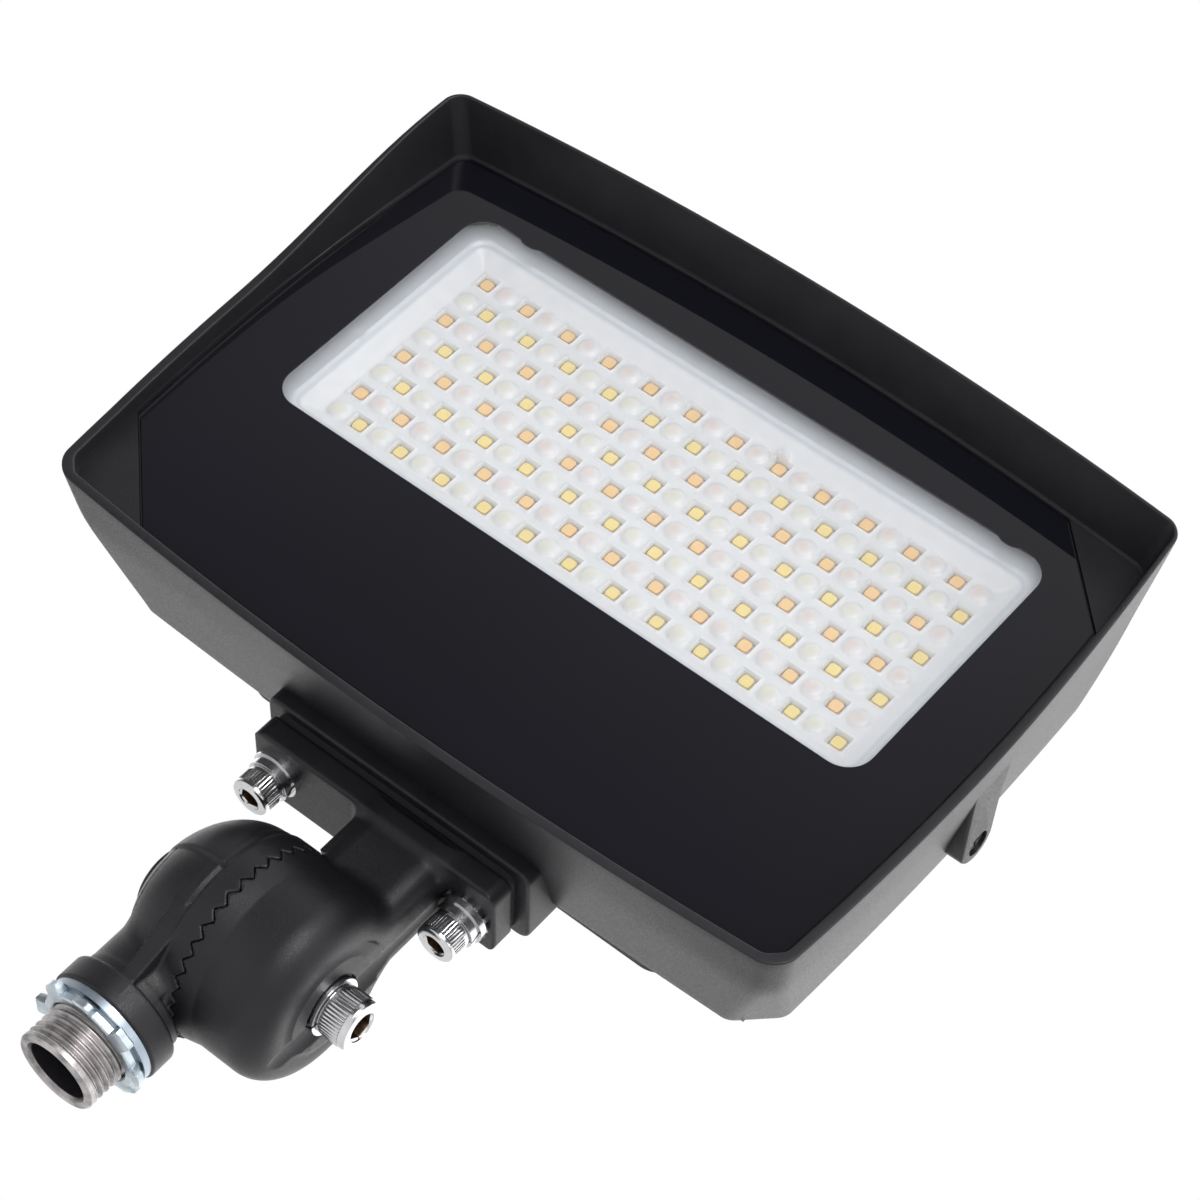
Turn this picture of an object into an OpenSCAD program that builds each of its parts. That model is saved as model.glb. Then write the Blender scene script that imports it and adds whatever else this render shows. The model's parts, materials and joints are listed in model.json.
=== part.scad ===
// LED flood light on a toothed tilt knuckle with a half-inch threaded pipe.
// The origin is on the pipe's axis at the collar's lower face. Z is up, the lens faces -Y.
// Pieces of the lamp head are drawn in the head's own frame: the centre of the glass front, X right, Y into the
// head, Z towards the hood. Knuckle pieces are drawn about the pivot, with z along it towards the head half.

/* [Mounting pipe] */
// Outside diameter of the pipe thread
pipe_d = 21.1; // [20:0.1:24]
// Bore of the pipe, the way for the supply leads
wireway_d = 16.6; // [10:0.1:17]
// Length of the thread below the collar
pipe_len = 14.7; // [12:0.1:20]
// Pitch of the thread
thread_pitch = 1.814; // [1.4:0.001:2.2]
// Depth of the thread
thread_depth = 0.9; // [0.4:0.1:1.2]
// Diameter of the collar above the thread
collar_d = 29.6; // [27:0.1:34]
// Height of the collar
collar_h = 6.8; // [5:0.1:9]
// Thickness of the locknut
nut_h = 3.4; // [2.5:0.1:5]
// Diameter over the locknut's lobes
nut_d = 30.8; // [29:0.1:36]
// Number of lobes on the locknut
nut_lobes = 8; // [6:1:10]
// Thickness of the sealing washer
seal_h = 1.9; // [1:0.1:3]

/* [Knuckle] */
// Height of the pivot above the collar's lower face
pivot_h = 36; // [35:0.5:50]
// Distance from the pipe's axis to the toothed plane
pivot_x = 9.7; // [9:0.1:14]
// Radius of the toothed band
tooth_r = 25.4; // [23:0.1:25.8]
// Number of teeth round the knuckle
teeth = 36; // [24:12:48]
// Depth of the teeth
tooth_depth = 1.8; // [1:0.1:2.4]
// Width of the toothed land
tooth_land = 5.6; // [4:0.1:6]
// Length of the lower half along the pivot, without its boss
base_len = 25.2; // [22:0.1:27]
// Length of the upper half along the pivot
arm_len = 23.3; // [21:0.1:26]
// Wall of both knuckle halves
knuckle_wall = 4.5; // [3.5:0.1:6]
// Radius of the bolt boss of the lower half
boss_r = 8.8; // [8:0.1:10]
// Diameter of the pivot bolt
pivot_bolt_d = 8; // [7:0.1:8.4]
// Width of the arm along the pivot
arm_w = 25.1; // [21:0.1:26]
// Thickness of the arm from front to back
arm_t = 18.5; // [17:0.5:21]

/* [Flange] */
// How far the flange's middle lies to the right of the toothed plane
flange_shift = 1.3; // [0:0.1:3]
// Height of the flange's lower face above the pivot
flange_rise = 38.6; // [37:0.1:46]
// Length of the flange
flange_l = 72; // [70:0.5:76]
// Depth of the flange from front to back
flange_w = 23; // [20.5:0.1:25]
// Thickness of the flange
flange_t = 6.4; // [4:0.1:8]
// Thickness of the gasket under the pad
gasket_t = 1.8; // [1:0.1:3]
// Distance between the two flange bolts
flange_bolt_span = 56.4; // [54:0.1:58]
// Diameter of the flange bolts
flange_bolt_d = 6; // [5:0.1:6.4]

/* [Housing] */
// Half of the housing's width at the front
front_half = 111; // [108:0.5:116]
// Half of the housing's width at the back
back_half = 99.5; // [97:0.5:101]
// Height of the hood's top above the centre of the glass, at the front
hood_top = 60.5; // [58:0.5:66]
// Height of the top wall at the back
back_top = 47; // [45:0.5:50]
// Depth of the front rim's lower wall below the centre of the glass, at its middle
rim_low = 94.8; // [94:0.1:96]
// Thickness of the cast walls
wall_t = 2.5; // [2:0.1:3]
// Depth of the housing's side walls behind the glass front
shell_d = 39; // [37:0.5:42]
// How far the lower rim stands before the glass
rim_reach = 4.6; // [3.5:0.1:6]
// How much further the hood stands out than the lower rim
hood_reach = 12; // [8:0.5:16]
// Leg of the two corner webs beside the glass
web_leg = 26.6; // [20:0.1:30]
// Thickness of the cooling fins
fin_t = 2; // [1.6:0.1:2.6]
// Distance from fin to fin
fin_pitch = 9; // [8:0.5:12]

/* [Glass and optics] */
// Thickness of the front glass
glass_t = 4; // [3:0.1:4.5]
// Width of the clear window
window_w = 171.4; // [168:0.1:174]
// Height of the clear window
window_h = 76; // [74:0.1:78]
// Corner radius of the clear window
window_corner = 7; // [6:0.5:10]
// LEDs in a row
led_cols = 24; // [20:1:24]
// Rows of LEDs
led_rows = 8; // [4:2:8]
// Distance between LEDs along a row
led_pitch_x = 6.45; // [6:0.05:6.5]
// Distance between rows
led_pitch_z = 7.7; // [7:0.05:7.75]
// Side of an LED
led_size = 2.8; // [2:0.1:3.2]
// Height of an LED
led_h = 0.7; // [0.5:0.1:0.8]
// Thickness of the LED board
board_t = 1.6; // [1:0.1:2]
// Diameter of the frosted domes over every other LED
dome_d = 4.6; // [3:0.1:5.4]

/* [Driver compartment] */
// Half of the compartment's width
box_half = 66; // [64:0.5:72]
// Height of the compartment's top above the centre of the glass
box_top = 26; // [24:0.5:34]
// Depth of the compartment's floor below the centre of the glass
box_low = 74; // [72:0.5:76]
// Distance from the glass front to the compartment's open back
box_back = 57; // [54:0.5:60]
// Thickness of the rear cover
cover_t = 3; // [2:0.1:4]
// Thickness of the rear cover's gasket
cover_gasket_t = 1.5; // [1:0.1:2]
// Length of the LED driver
driver_l = 96; // [80:1:98]
// Height of the LED driver
driver_w = 42; // [36:1:44]
// Thickness of the LED driver
driver_t = 26; // [20:1:28]
// Travel of the tint selector each way
selector_travel = 2; // [1:0.1:2]

/* [Hidden] */

$fn = 64;
eps = 0.02;
seat = 0.1;                     // clearance between faces that turn on each other
free = 0.3;                     // clearance between parts that only pass

// Colours
powder_black = [0.11, 0.11, 0.12];
glass_black = [0.10, 0.10, 0.13, 0.6];
zinc = [0.75, 0.78, 0.80];
steel = [0.66, 0.66, 0.67];
rubber_black = [0.06, 0.06, 0.06];

// Pipe and locknut
pipe_r = pipe_d / 2;
pipe_chamfer = 0.7;
thread_start = 1.2;             // plain neck between the collar and the first groove
runout_drop = 0.2;              // how much lower the crests by the nut stand
grooves = floor((pipe_len - thread_start - pipe_chamfer) / thread_pitch);
nut_body_r = nut_d / 2 - 2.2;
lobe_w = 6.6;
lobe_notch = 1.1;

// Knuckle, about the pivot
tooth_half = tooth_depth / 2;
band_w = 4.6;                   // width of the toothed band behind the teeth
band_groove = 0.9;              // depth of the step behind the band
drum_r = tooth_r - 0.4;
cavity_r = tooth_r - tooth_land - 3;
seal_land_r = tooth_r - tooth_land;
seal_r = (cavity_r + seal_land_r) / 2;
seal_wire_r = 1;
shaft_r = pivot_bolt_d / 2;
boss_end = base_len + 1.2;       // place of the lower boss's outer end
bolt_tip = boss_end - 3;
head_recess = 0.6;              // depth of the counterbore round the pivot bolt
spring_t = 2.1;
bolt_head_r = 0.8125 * pivot_bolt_d;
arm_end_r = 10.7;               // radius of the raised disc round the pivot bolt
neck_r = 13;
neck_ring_top = pivot_h - tooth_r - 1;
neck_top = pivot_h - 16;
rib_x = 2.1;                    // middle of the two ribs beside the neck
rib_t = 3.4;
rib_drop = 15;                  // depth of the ribs' tops below the pivot
rib_reach = sqrt(pow(drum_r, 2) - pow(rib_drop, 2)) - 1;
arm_x0 = -2.3;                  // the arm's left face, measured from the toothed plane
arm_mid = arm_x0 + arm_w / 2;
arm_channel_w = arm_w - 2 * knuckle_wall;
arm_channel_t = 11;
arm_corner = 3.8;
fillet_r = 3;

// Flange and its bolts, in the head's frame
head_x = pivot_x + flange_shift; // place of the glass centre on the part
head_y = -35.5;
pad_face = -91.2;
flange_top = pad_face - gasket_t;
flange_y = 38;
flange_corner = 3.5;
bolt_y = 37.5;                  // depth of the line that the bolts lie about
bolt_skew = 1.5;                // each bolt's offset from that line, left one forward
arm_y0 = head_y + flange_y - flange_w / 2;
arm_y = arm_y0 + arm_t / 2;
lead_hole_r = 5;
lead_hole_x = arm_mid - flange_shift;
pad_half = 39;
pad_y0 = 25;
pad_y1 = 50;
head_z = pivot_h + flange_rise + flange_t - flange_top;
m6_head_r = flange_bolt_d * 0.87;
m6_head_h = 6.4;
m6_spring_r = m6_head_r + 0.5;
m6_spring_t = 2.4;
m6_flat_r = m6_head_r + 1.2;
m6_flat_t = 1.7;
m6_star_t = 0.9;                // of the toothed washer, which only the right bolt has
m6_depth = 9;

// Housing
// Depth, half width, bottom, top, rounding of the lower corner, radius of the upper one, leg of the lower
// one, bow of the sole, height of the sides' widest place, radius of the sides seen from the front
stations = [
    [-18, front_half, -3.4 - rim_low, hood_top, 6.3, 4.5, 6.3, 5.4, -15, 850],
    [12, front_half - 4.9, 3.9 - rim_low, hood_top - 3, 5.5, 7, 6.2, 2.3, -15, 850],
    [46, back_half, 12.5 - rim_low, back_top, 4.5, 14, 11.4, 1.8, 10, 1400]];
crown_r = 1040;                 // radius of the hood's edge seen from the front
ledge_y = glass_t + 0.9;
floor_y = 11.8;                 // place of the floor that carries the LED board
floor_t = 4;
ledge_w = 6.5;
glass_gap = 1.4;                // width of the seal round the glass
seal_y = 0.8;                   // the seal's front, a little behind the glass front
web_y = -1.5;
web_gap = 0.5;
web_low_x = 3.7 - front_half;   // corner web at the lower left: left end of its diagonal
web_low_z = 8 - rim_low;
web_top_x = front_half - 7;     // corner web at the upper right: right end of its diagonal
web_top_z = hood_top - 5.5;
back_lean = 0.06;               // slope of the housing's back towards the hood
box_wall = 2.6;
box_corner = 8;
box_mid = (box_top - box_low) / 2;
cover_boss_r = 5;
cover_screw_r = 2;
cover_screw_in = 7.5;
lug_x = 106.5;                  // outer face of the side lugs
lug_in = 93;
lug_screw_y = 31.8;
lug_screw_z = -14.6;
lug_hole_r = 2.5;
lug_sink_r = 3.4;
lug_recess = 2.4;

// Optics
led_face = floor_y - board_t;   // front face of the board
tray_rim_y = glass_t + free;
tray_floor_y = led_face - led_h - 1.1;
tray_t = 1.1;
tray_margin = 2.3;              // how far the tray's rim reaches past the window
tray_slope = 9;
board_half_w = front_half - 19;
board_half_h = window_h / 2 + 4;
board_screw_x = board_half_w - 7.5;
board_screw_z = board_half_h - 5.5;
foot_r = 1.4;

// Small screws, M3 and M2
m3_r = 1.5;
m3_tap_r = 1.55;
m3_clear_r = 1.75;
m3_head_r = 2.7;
m3_head_h = 1.5;
m2_r = 1;
m2_tap_r = 1.05;
m2_clear_r = 1.3;
m2_head_r = 2;
m2_head_h = 1.3;
screw_room = 0.5;               // free depth past a screw's tip

// Rear pieces
cover_y = box_back + cover_gasket_t;
cover_out = cover_y + cover_t;
driver_y = floor_y + floor_t + 2;
driver_z = -15;
driver_ear = 8;
driver_ear_t = 1.6;
driver_foot_r = 3.5;
driver_screw_l = 3.5;           // depth of the driver's screws in the feet
board_screw_l = 2.5;            // depth of the board's screws in the floor
grommet_r = 4.9;
selector_x = box_half - 32;
selector_z = -52;
selector_hole_r = 9;
selector_back = 9;              // distance from the cover to the selector's board
switch_w = 13;
switch_h = 6;
switch_t = 4.4;
knob_w = 3;
knob_h = 2.4;
knob_out = 2;
knob_in = 1.6;
selector_post_x = 12;
selector_post_r = 3;
selector_board_t = 1.6;
lead_r = 1.1;
lead_x = -30;
lead_hole_z = -54;
lead_bend = 6;
lead_gap = 1.6;                 // each lead's distance from the middle of the pair
vent_y = 49;
vent_z = -40;
vent_thread_r = 4;
vent_thread_l = 4;
lug_screw_r = 2.4;
lug_head_r = 3.2;
lug_head_h = 1.6;
ground_x = -50;
ground_z = -56;
ground_r = 1.8;
ground_head_r = 3.4;
ground_head_h = 2;

// Frames

module in_head() translate([head_x, head_y, head_z]) children();

module at_pivot() translate([pivot_x, 0, pivot_h]) rotate([0, 90, 0]) children();

// A solid with its axis along +Y from y
module along_y(x, y, z) translate([x, y, z]) rotate([-90, 0, 0]) children();

// A plate seen from the front, from y back to y + t
module plate(y, t) translate([0, y + t, 0]) rotate([90, 0, 0]) linear_extrude(t) children();

module rounded(w, h, r) {
    square([w - 2 * r, h], center = true);
    square([w, h - 2 * r], center = true);
    for (x = [-1, 1], y = [-1, 1]) translate([x * (w / 2 - r), y * (h / 2 - r)]) circle(r);
}

// A ring about z, from z0 to z1
module ring(r_out, r_in, z0, z1) translate([0, 0, z0]) difference() {
    cylinder(r = r_out, h = z1 - z0);
    translate([0, 0, -1]) cylinder(r = r_in, h = z1 - z0 + 2);
}

// A socket head screw with its head's bearing face at z = 0 and its shank along -z
module cap_screw(shank_r, head_r, head_h, length) difference() {
    union() {
        cylinder(r = head_r, h = head_h - 0.6);
        translate([0, 0, head_h - 0.6]) cylinder(r1 = head_r, r2 = head_r - 0.6, h = 0.6);
        translate([0, 0, -length]) cylinder(r = shank_r, h = length + eps);
    }
    translate([0, 0, head_h * 0.45]) cylinder(r = head_r * 0.52, h = head_h, $fn = 6);
}

// A pan head screw, placed as the cap screw is
module pan_screw(shank_r, head_r, head_h, length) difference() {
    union() {
        cylinder(r = head_r, h = head_h);
        translate([0, 0, -length]) cylinder(r = shank_r, h = length + eps);
    }
    for (a = [0, 90]) rotate(a) translate([-head_r * 0.6, -head_r * 0.11, head_h * 0.5])
        cube([head_r * 1.2, head_r * 0.22, head_h]);
}

// A split ring with its cut leaning
module spring_washer(r_out, r_in, t) difference() {
    ring(r_out, r_in, 0, t);
    translate([r_in - 1, 0, t / 2]) rotate([30, 0, 0]) translate([0, -0.35, -t]) cube([r_out, 0.7, 2 * t]);
}

// Outline of the housing seen from the front

function arc(cx, cz, r, from) = [for (i = [0:6]) [cx + r * cos(from + 15 * i), cz + r * sin(from + 15 * i)]];

function side(p, q) = [for (i = [1:6]) p + (q - p) * i / 7];

function half_arc(cx, cz, r, from) =
    [for (i = [0:3]) [cx + r * cos(from + 15 * i), cz + r * sin(from + 15 * i)]];

// Round upper corners, and lower corners bevelled by the leg with a rounding at each end of the bevel
function plain(half, low, top, rl, rt, leg) = concat(
    arc(half - rt, top - rt, rt, 0), side([half - rt, top], [rt - half, top]),
    arc(rt - half, top - rt, rt, 90), side([-half, top - rt], [-half, low + leg]),
    half_arc(rl - half, low + leg, rl, 180), half_arc(leg - half, low + rl, rl, 225),
    side([leg - half, low], [half - leg, low]),
    half_arc(half - leg, low + rl, rl, 270), half_arc(half - rl, low + leg, rl, 315),
    side([half, low + leg], [half, top - rt]));

// The plain outline with bowed sides, a crowned top and a bowed sole, whose bow is given 100 mm from the middle
function bowed(half, low, top, rl, rt, leg, bow, wide_z, side_r) = [for (p = plain(half, low, top, rl, rt, leg))
    [p[0] * (1 - pow(p[1] - wide_z, 2) / (2 * side_r * half)),
     p[1] - pow(p[0], 2) / (2 * crown_r) * (p[1] - low) / (top - low)
        + pow(p[0] / 100, 2) * bow * (top - p[1]) / (top - low)]];

function lerp(a, b, t) = a + (b - a) * t;

// The housing's outer outline at depth y, drawn in by inset
function outline_at(y, inset) =
    let (s = y < stations[1][0] ? 0 : 1, t = (y - stations[s][0]) / (stations[s + 1][0] - stations[s][0]),
        v = [for (i = [1:9]) lerp(stations[s][i], stations[s + 1][i], t)], rl = max(1, v[3] - inset))
    bowed(v[0] - inset, v[1] + inset, v[2] - inset, rl, max(1, v[4] - inset),
        max(rl, v[5] - 0.586 * inset), v[6], v[7], v[8]);

module cast_hull(inset) hull() for (s = stations)
    plate(s[0], eps) polygon(outline_at(s[0], inset));

// Height of the hood's edge before the glass, by height z
function rim_y(z) = -rim_reach - 0.025 * max(0, z + 70)
    - (hood_reach - 3.05) * (1 - cos(180 * max(0, min(1, (z + 25) / 85)))) / 2;

// Corner webs: the triangle beyond a diagonal, grown by gap
module web_low(gap) polygon([[web_low_x - 9, web_low_z + web_leg + 9 + 1.414 * gap],
    [web_low_x - 9, web_low_z - 9], [web_low_x + web_leg + 9 + 1.414 * gap, web_low_z - 9]]);

module web_top(gap) polygon([[web_top_x + 9, web_top_z - web_leg - 9 - 1.414 * gap],
    [web_top_x + 9, web_top_z + 9], [web_top_x - web_leg - 9 - 1.414 * gap, web_top_z + 9]]);

// Glass outline, drawn in by inset
module glass_shape(inset) difference() {
    polygon(outline_at(0, wall_t + glass_gap + inset));
    web_low(web_gap + inset);
    web_top(web_gap + inset);
}

// Mounting pipe and lower knuckle half

// The thread runs out towards the collar: the crests under the washer and the nut are a little lower
function crest_r(z) = z > -seal_h - nut_h ? pipe_r - runout_drop : pipe_r;

module threaded_pipe() rotate_extrude() polygon(concat(
    [[0, collar_h], [0, -pipe_len], [pipe_r - pipe_chamfer, -pipe_len], [pipe_r, -pipe_len + pipe_chamfer]],
    [for (i = [grooves - 1:-1:0], k = [0:2])
        let (z = -thread_start - (i + 0.5) * thread_pitch, w = 0.42 * thread_pitch,
            crest = crest_r(z + (k - 1) * thread_pitch / 2))
        [k == 1 ? pipe_r - thread_depth : crest, z + (k - 1) * w]],
    [[crest_r(0), collar_h]]));

// Outline of the lower half's rounded cap: an ellipse behind the band, cut flat at base_len
cap_start = band_w + tooth_half + 3.5;
cap_steps = 9;
cap_sweep = 61.6;
cap_profile = [for (i = [0:cap_steps]) let (a = cap_sweep * i / cap_steps)
    [drum_r * cos(a), -cap_start - (base_len - cap_start) / sin(cap_sweep) * sin(a)]];

module base_drum() rotate_extrude() polygon(concat(
    [[0, -tooth_half], [tooth_r, -tooth_half], [tooth_r, -tooth_half - band_w],
     [tooth_r - band_groove, -tooth_half - band_w], [tooth_r - band_groove, -cap_start + 1]],
    cap_profile, [[boss_r, -base_len], [boss_r, -boss_end + 0.8], [boss_r - 0.8, -boss_end], [0, -boss_end]]));

module crown_teeth() {
    pitch_in = 2 * PI * seal_land_r / teeth;
    intersection() {
        ring(tooth_r, seal_land_r, -tooth_half - eps, tooth_half);
        union() for (i = [0:teeth - 1]) rotate(i * 360 / teeth)
            translate([seal_land_r - 2, 0, 0]) rotate([90, 0, 90]) linear_extrude(tooth_land + 4)
                polygon([[-pitch_in / 2, -tooth_half - eps], [pitch_in / 2, -tooth_half - eps],
                    [0, tooth_half]]);
    }
}

// Neck between the collar and the drum, cut clear of the toothed plane
module base_neck() intersection() {
    union() {
        cylinder(r = neck_r, h = neck_top);
        for (s = [-1, 1]) translate([rib_x, 0, 0]) rotate([90, 0, 90]) linear_extrude(rib_t, center = true)
            polygon([[0, collar_h - 1], [s * (collar_d / 2 - 1), collar_h - 1],
                [s * (collar_d / 2 - 1), collar_h], [s * rib_reach, pivot_h - rib_drop],
                [0, pivot_h - rib_drop]]);
    }
    translate([-collar_d, -collar_d, 0]) cube([collar_d + pivot_x - tooth_half, 2 * collar_d, pivot_h]);
}

module knuckle_base() color(powder_black) difference() {
    union() {
        threaded_pipe();
        cylinder(r = collar_d / 2, h = collar_h);
        cylinder(r = neck_r, h = neck_ring_top);
        base_neck();
        at_pivot() base_drum();
        at_pivot() crown_teeth();
    }
    translate([0, 0, -pipe_len - 1])
        cylinder(r = wireway_d / 2, h = pipe_len + 1 + pivot_h - (boss_r + cavity_r) / 2);
    at_pivot() ring(cavity_r, boss_r, knuckle_wall - base_len, 1);
    at_pivot() translate([0, 0, -seal_wire_r - seat]) cylinder(r = seal_land_r, h = 5);
    at_pivot() translate([0, 0, -bolt_tip - 1]) cylinder(r = shaft_r + seat / 2, h = boss_end);
}

module pivot_bolt() color(steel) at_pivot() translate([0, 0, arm_len - head_recess + spring_t + 2 * seat])
    cap_screw(shaft_r, bolt_head_r, pivot_bolt_d, arm_len - head_recess + spring_t + 2 * seat + bolt_tip);

module pivot_spring_washer() color(steel) at_pivot() translate([0, 0, arm_len - head_recess + seat])
    spring_washer(shaft_r + 3.4, shaft_r + seat, spring_t);

module knuckle_seal() color(rubber_black) at_pivot()
    rotate_extrude() translate([seal_r, 0]) circle(r = seal_wire_r, $fn = 24);

module sealing_washer() color(zinc) ring(collar_d / 2 - 0.6, pipe_r + seat, -seal_h, 0);

module locknut() color(zinc) translate([0, 0, -seal_h - nut_h]) difference() {
    union() {
        cylinder(r = nut_body_r, h = nut_h);
        for (i = [0:nut_lobes - 1]) rotate(i * 360 / nut_lobes) intersection() {
            translate([0, -lobe_w / 2, i % 2 == 0 ? 0 : lobe_notch])
                cube([nut_d, lobe_w, nut_h - lobe_notch]);
            cylinder(r = nut_d / 2, h = nut_h);
        }
    }
    translate([0, 0, -1]) cylinder(r = pipe_r + seat, h = nut_h + 2);
}

// Upper knuckle half with its arm and flange

arm_profile_round = 6;
arm_drum = concat([[0, tooth_half + free], [drum_r + 0.3, tooth_half + free], [drum_r - 0.4, 4],
    [drum_r - 0.4, arm_len - arm_profile_round - 2]],
    [for (i = [1:6]) let (a = 15 * i)
        [drum_r - 0.4 - (arm_profile_round + 2) * (1 - cos(a)),
         arm_len - arm_profile_round - 2 + (arm_profile_round + 2) * sin(a)]],
    [[arm_end_r, arm_len], [arm_end_r - 0.2, arm_len + 0.5], [0, arm_len + 0.5]]);

module flange_outline() rounded(flange_l, flange_w, flange_corner);

module arm_block() translate([pivot_x + arm_mid, arm_y, pivot_h]) linear_extrude(flange_rise + 1)
    rounded(arm_w, arm_t, arm_corner);

// Hollow corner between the arm and the flange's lower face
module arm_fillet(s) translate([pivot_x + arm_mid + s * arm_w / 2, arm_y0 + arm_t, pivot_h + flange_rise])
    rotate([90, 0, 0]) linear_extrude(arm_t) difference() {
        translate([s > 0 ? -1 : -fillet_r, -fillet_r]) square([fillet_r + 1, fillet_r + 1]);
        translate([s * fillet_r, -fillet_r]) circle(fillet_r);
    }

module knuckle_arm() color(powder_black) difference() {
    union() {
        at_pivot() rotate_extrude() polygon(arm_drum);
        arm_block();
        for (s = [-1, 1]) arm_fillet(s);
        translate([head_x, head_y + flange_y, pivot_h + flange_rise]) linear_extrude(flange_t) flange_outline();
    }
    // Room for the lower half's band, also where the arm passes it
    at_pivot() translate([0, 0, -band_w]) cylinder(r = tooth_r + free, h = band_w + tooth_half + free);
    at_pivot() ring(cavity_r, boss_r, -1, arm_len - knuckle_wall);
    at_pivot() translate([0, 0, -1]) cylinder(r = boss_r + eps, h = 1 + tooth_half + free + seat);
    translate([pivot_x + arm_mid - arm_channel_w / 2, arm_y - arm_channel_t / 2, pivot_h + boss_r + 2])
        cube([arm_channel_w, arm_channel_t, flange_rise - boss_r - 5]);
    translate([head_x + lead_hole_x, arm_y, pivot_h + flange_rise - 4])
        cylinder(r = lead_hole_r, h = flange_t + 5);
    at_pivot() translate([0, 0, -1]) cylinder(r = shaft_r + seat, h = arm_len + 3);
    at_pivot() translate([0, 0, arm_len - head_recess]) cylinder(r = shaft_r + 4, h = 3);
    in_head() flange_bolt_places() {
        translate([0, 0, -flange_t - 1]) cylinder(r = flange_bolt_d / 2 + free, h = flange_t + 2);
        translate([0, 0, -flange_t - fillet_r]) cylinder(r = m6_flat_r + free, h = fillet_r);
    }
}

// Flange bolts, -1 the left one: z = 0 is the flange's upper face, the heads are below
module flange_bolt_place(s) translate([s * flange_bolt_span / 2, bolt_y + s * bolt_skew, flange_top]) children();

module flange_bolt_places() for (s = [-1, 1]) flange_bolt_place(s) children();

// Thickness of the toothed washer and of all washers under a bolt's head
function star_t(s) = s > 0 ? m6_star_t : 0;

function grip(s) = star_t(s) + m6_flat_t + m6_spring_t;

module flange_gasket() color(rubber_black) in_head() translate([0, flange_y, flange_top])
    linear_extrude(gasket_t) difference() {
        rounded(flange_l - 2, flange_w - 2, flange_corner - 1);
        translate([lead_hole_x, arm_y - head_y - flange_y]) circle(lead_hole_r + free);
        for (s = [-1, 1]) translate([s * flange_bolt_span / 2, bolt_y - flange_y + s * bolt_skew])
            circle(flange_bolt_d / 2 + free);
    }

module flange_bolts() color(steel) in_head() for (s = [-1, 1])
    flange_bolt_place(s) translate([0, 0, -flange_t - grip(s)]) rotate([180, 0, 0])
        cap_screw(flange_bolt_d / 2, m6_head_r, m6_head_h, grip(s) + flange_t + gasket_t + m6_depth);

module flange_spring_washers() color(steel) in_head() for (s = [-1, 1]) flange_bolt_place(s)
    translate([0, 0, -flange_t - grip(s)]) spring_washer(m6_spring_r, flange_bolt_d / 2 + seat, m6_spring_t);

module flange_flat_washers() color(steel) in_head() for (s = [-1, 1]) flange_bolt_place(s)
    translate([0, 0, -flange_t - star_t(s) - m6_flat_t])
        ring(m6_flat_r, flange_bolt_d / 2 + seat, 0, m6_flat_t);

star_teeth = 12;
star_root_r = m6_flat_r - 1.4;
module flange_star_washer() color(steel) in_head() flange_bolt_place(1)
    translate([0, 0, -flange_t - m6_star_t]) difference() {
        union() {
            cylinder(r = star_root_r, h = m6_star_t);
            for (i = [0:star_teeth - 1]) rotate(i * 360 / star_teeth)
                translate([star_root_r - 0.4, -0.6, 0]) cube([1.9, 1.2, m6_star_t]);
        }
        translate([0, 0, -1]) cylinder(r = flange_bolt_d / 2 + seat, h = m6_star_t + 2);
    }

// Housing

module cover_shape(inset) translate([0, box_mid])
    rounded(2 * (box_half - inset), box_top + box_low - 2 * inset, box_corner - inset / 2);

module driver_block(inset) plate(floor_y, box_back - floor_y) cover_shape(inset);

module pocket_shape() polygon(outline_at(ledge_y, wall_t + ledge_w));

module kept_metal() {
    difference() {
        plate(ledge_y, floor_y + floor_t - ledge_y) square(3 * front_half, center = true);
        plate(ledge_y - 1, floor_y - ledge_y + 1) pocket_shape();
    }
    plate(web_y, floor_y - web_y) {
        web_low(0);
        web_top(0);
    }
    fins = floor(back_half / fin_pitch);
    for (i = [-fins:fins]) translate([i * fin_pitch - fin_t / 2, floor_y, -2 * rim_low])
        cube([fin_t, shell_d, 4 * rim_low]);
    driver_block(0);
}

module beyond_rim() translate([-2 * front_half, 0, 0]) rotate([90, 0, 90]) linear_extrude(4 * front_half)
    polygon(concat([[-60, -rim_low - 10]], [for (i = [0:20]) let (z = -rim_low - 10 + i * 9) [rim_y(z), z]],
        [[-60, 180 - rim_low - 10]]));

module behind_back() translate([0, shell_d, 0]) rotate([atan(back_lean), 0, 0])
    translate([-2 * front_half, 0, -2 * rim_low]) cube([4 * front_half, 60, 4 * rim_low]);

module pad_block() translate([0, (pad_y0 + pad_y1) / 2, pad_face]) linear_extrude(box_wall - box_low - pad_face)
    rounded(2 * pad_half, pad_y1 - pad_y0, 3);

module side_lug() rotate([90, 0, 90]) translate([0, 0, lug_in]) linear_extrude(lug_x - lug_in) {
    polygon([[7, -5.3], [18.3, -8.1], [34, -9], [34, -20.8], [7, -19.4]]);
    translate([lug_screw_y - 0.8, -15]) circle(6);
}

module cover_screw_places() for (x = [-1, 0, 1], z = [box_top - cover_screw_in, cover_screw_in - box_low])
    translate([x * (box_half - cover_screw_in), 0, z]) children();

module cover_bosses() cover_screw_places() along_y(0, floor_y + floor_t - eps, 0)
    cylinder(r = cover_boss_r, h = box_back - floor_y - floor_t + eps);

// Places of the driver's two screws and of the board's four, at depth y
module driver_ear_places(y) for (s = [-1, 1])
    along_y(s * (driver_l + driver_ear) / 2, y, driver_z) children();

module board_screw_places(y) for (x = [-1, 1], z = [-1, 1])
    along_y(x * board_screw_x, y, z * board_screw_z) children();

module driver_feet() driver_ear_places(floor_y + floor_t - eps)
    cylinder(r = driver_foot_r, h = driver_y - floor_y - floor_t + eps);

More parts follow.
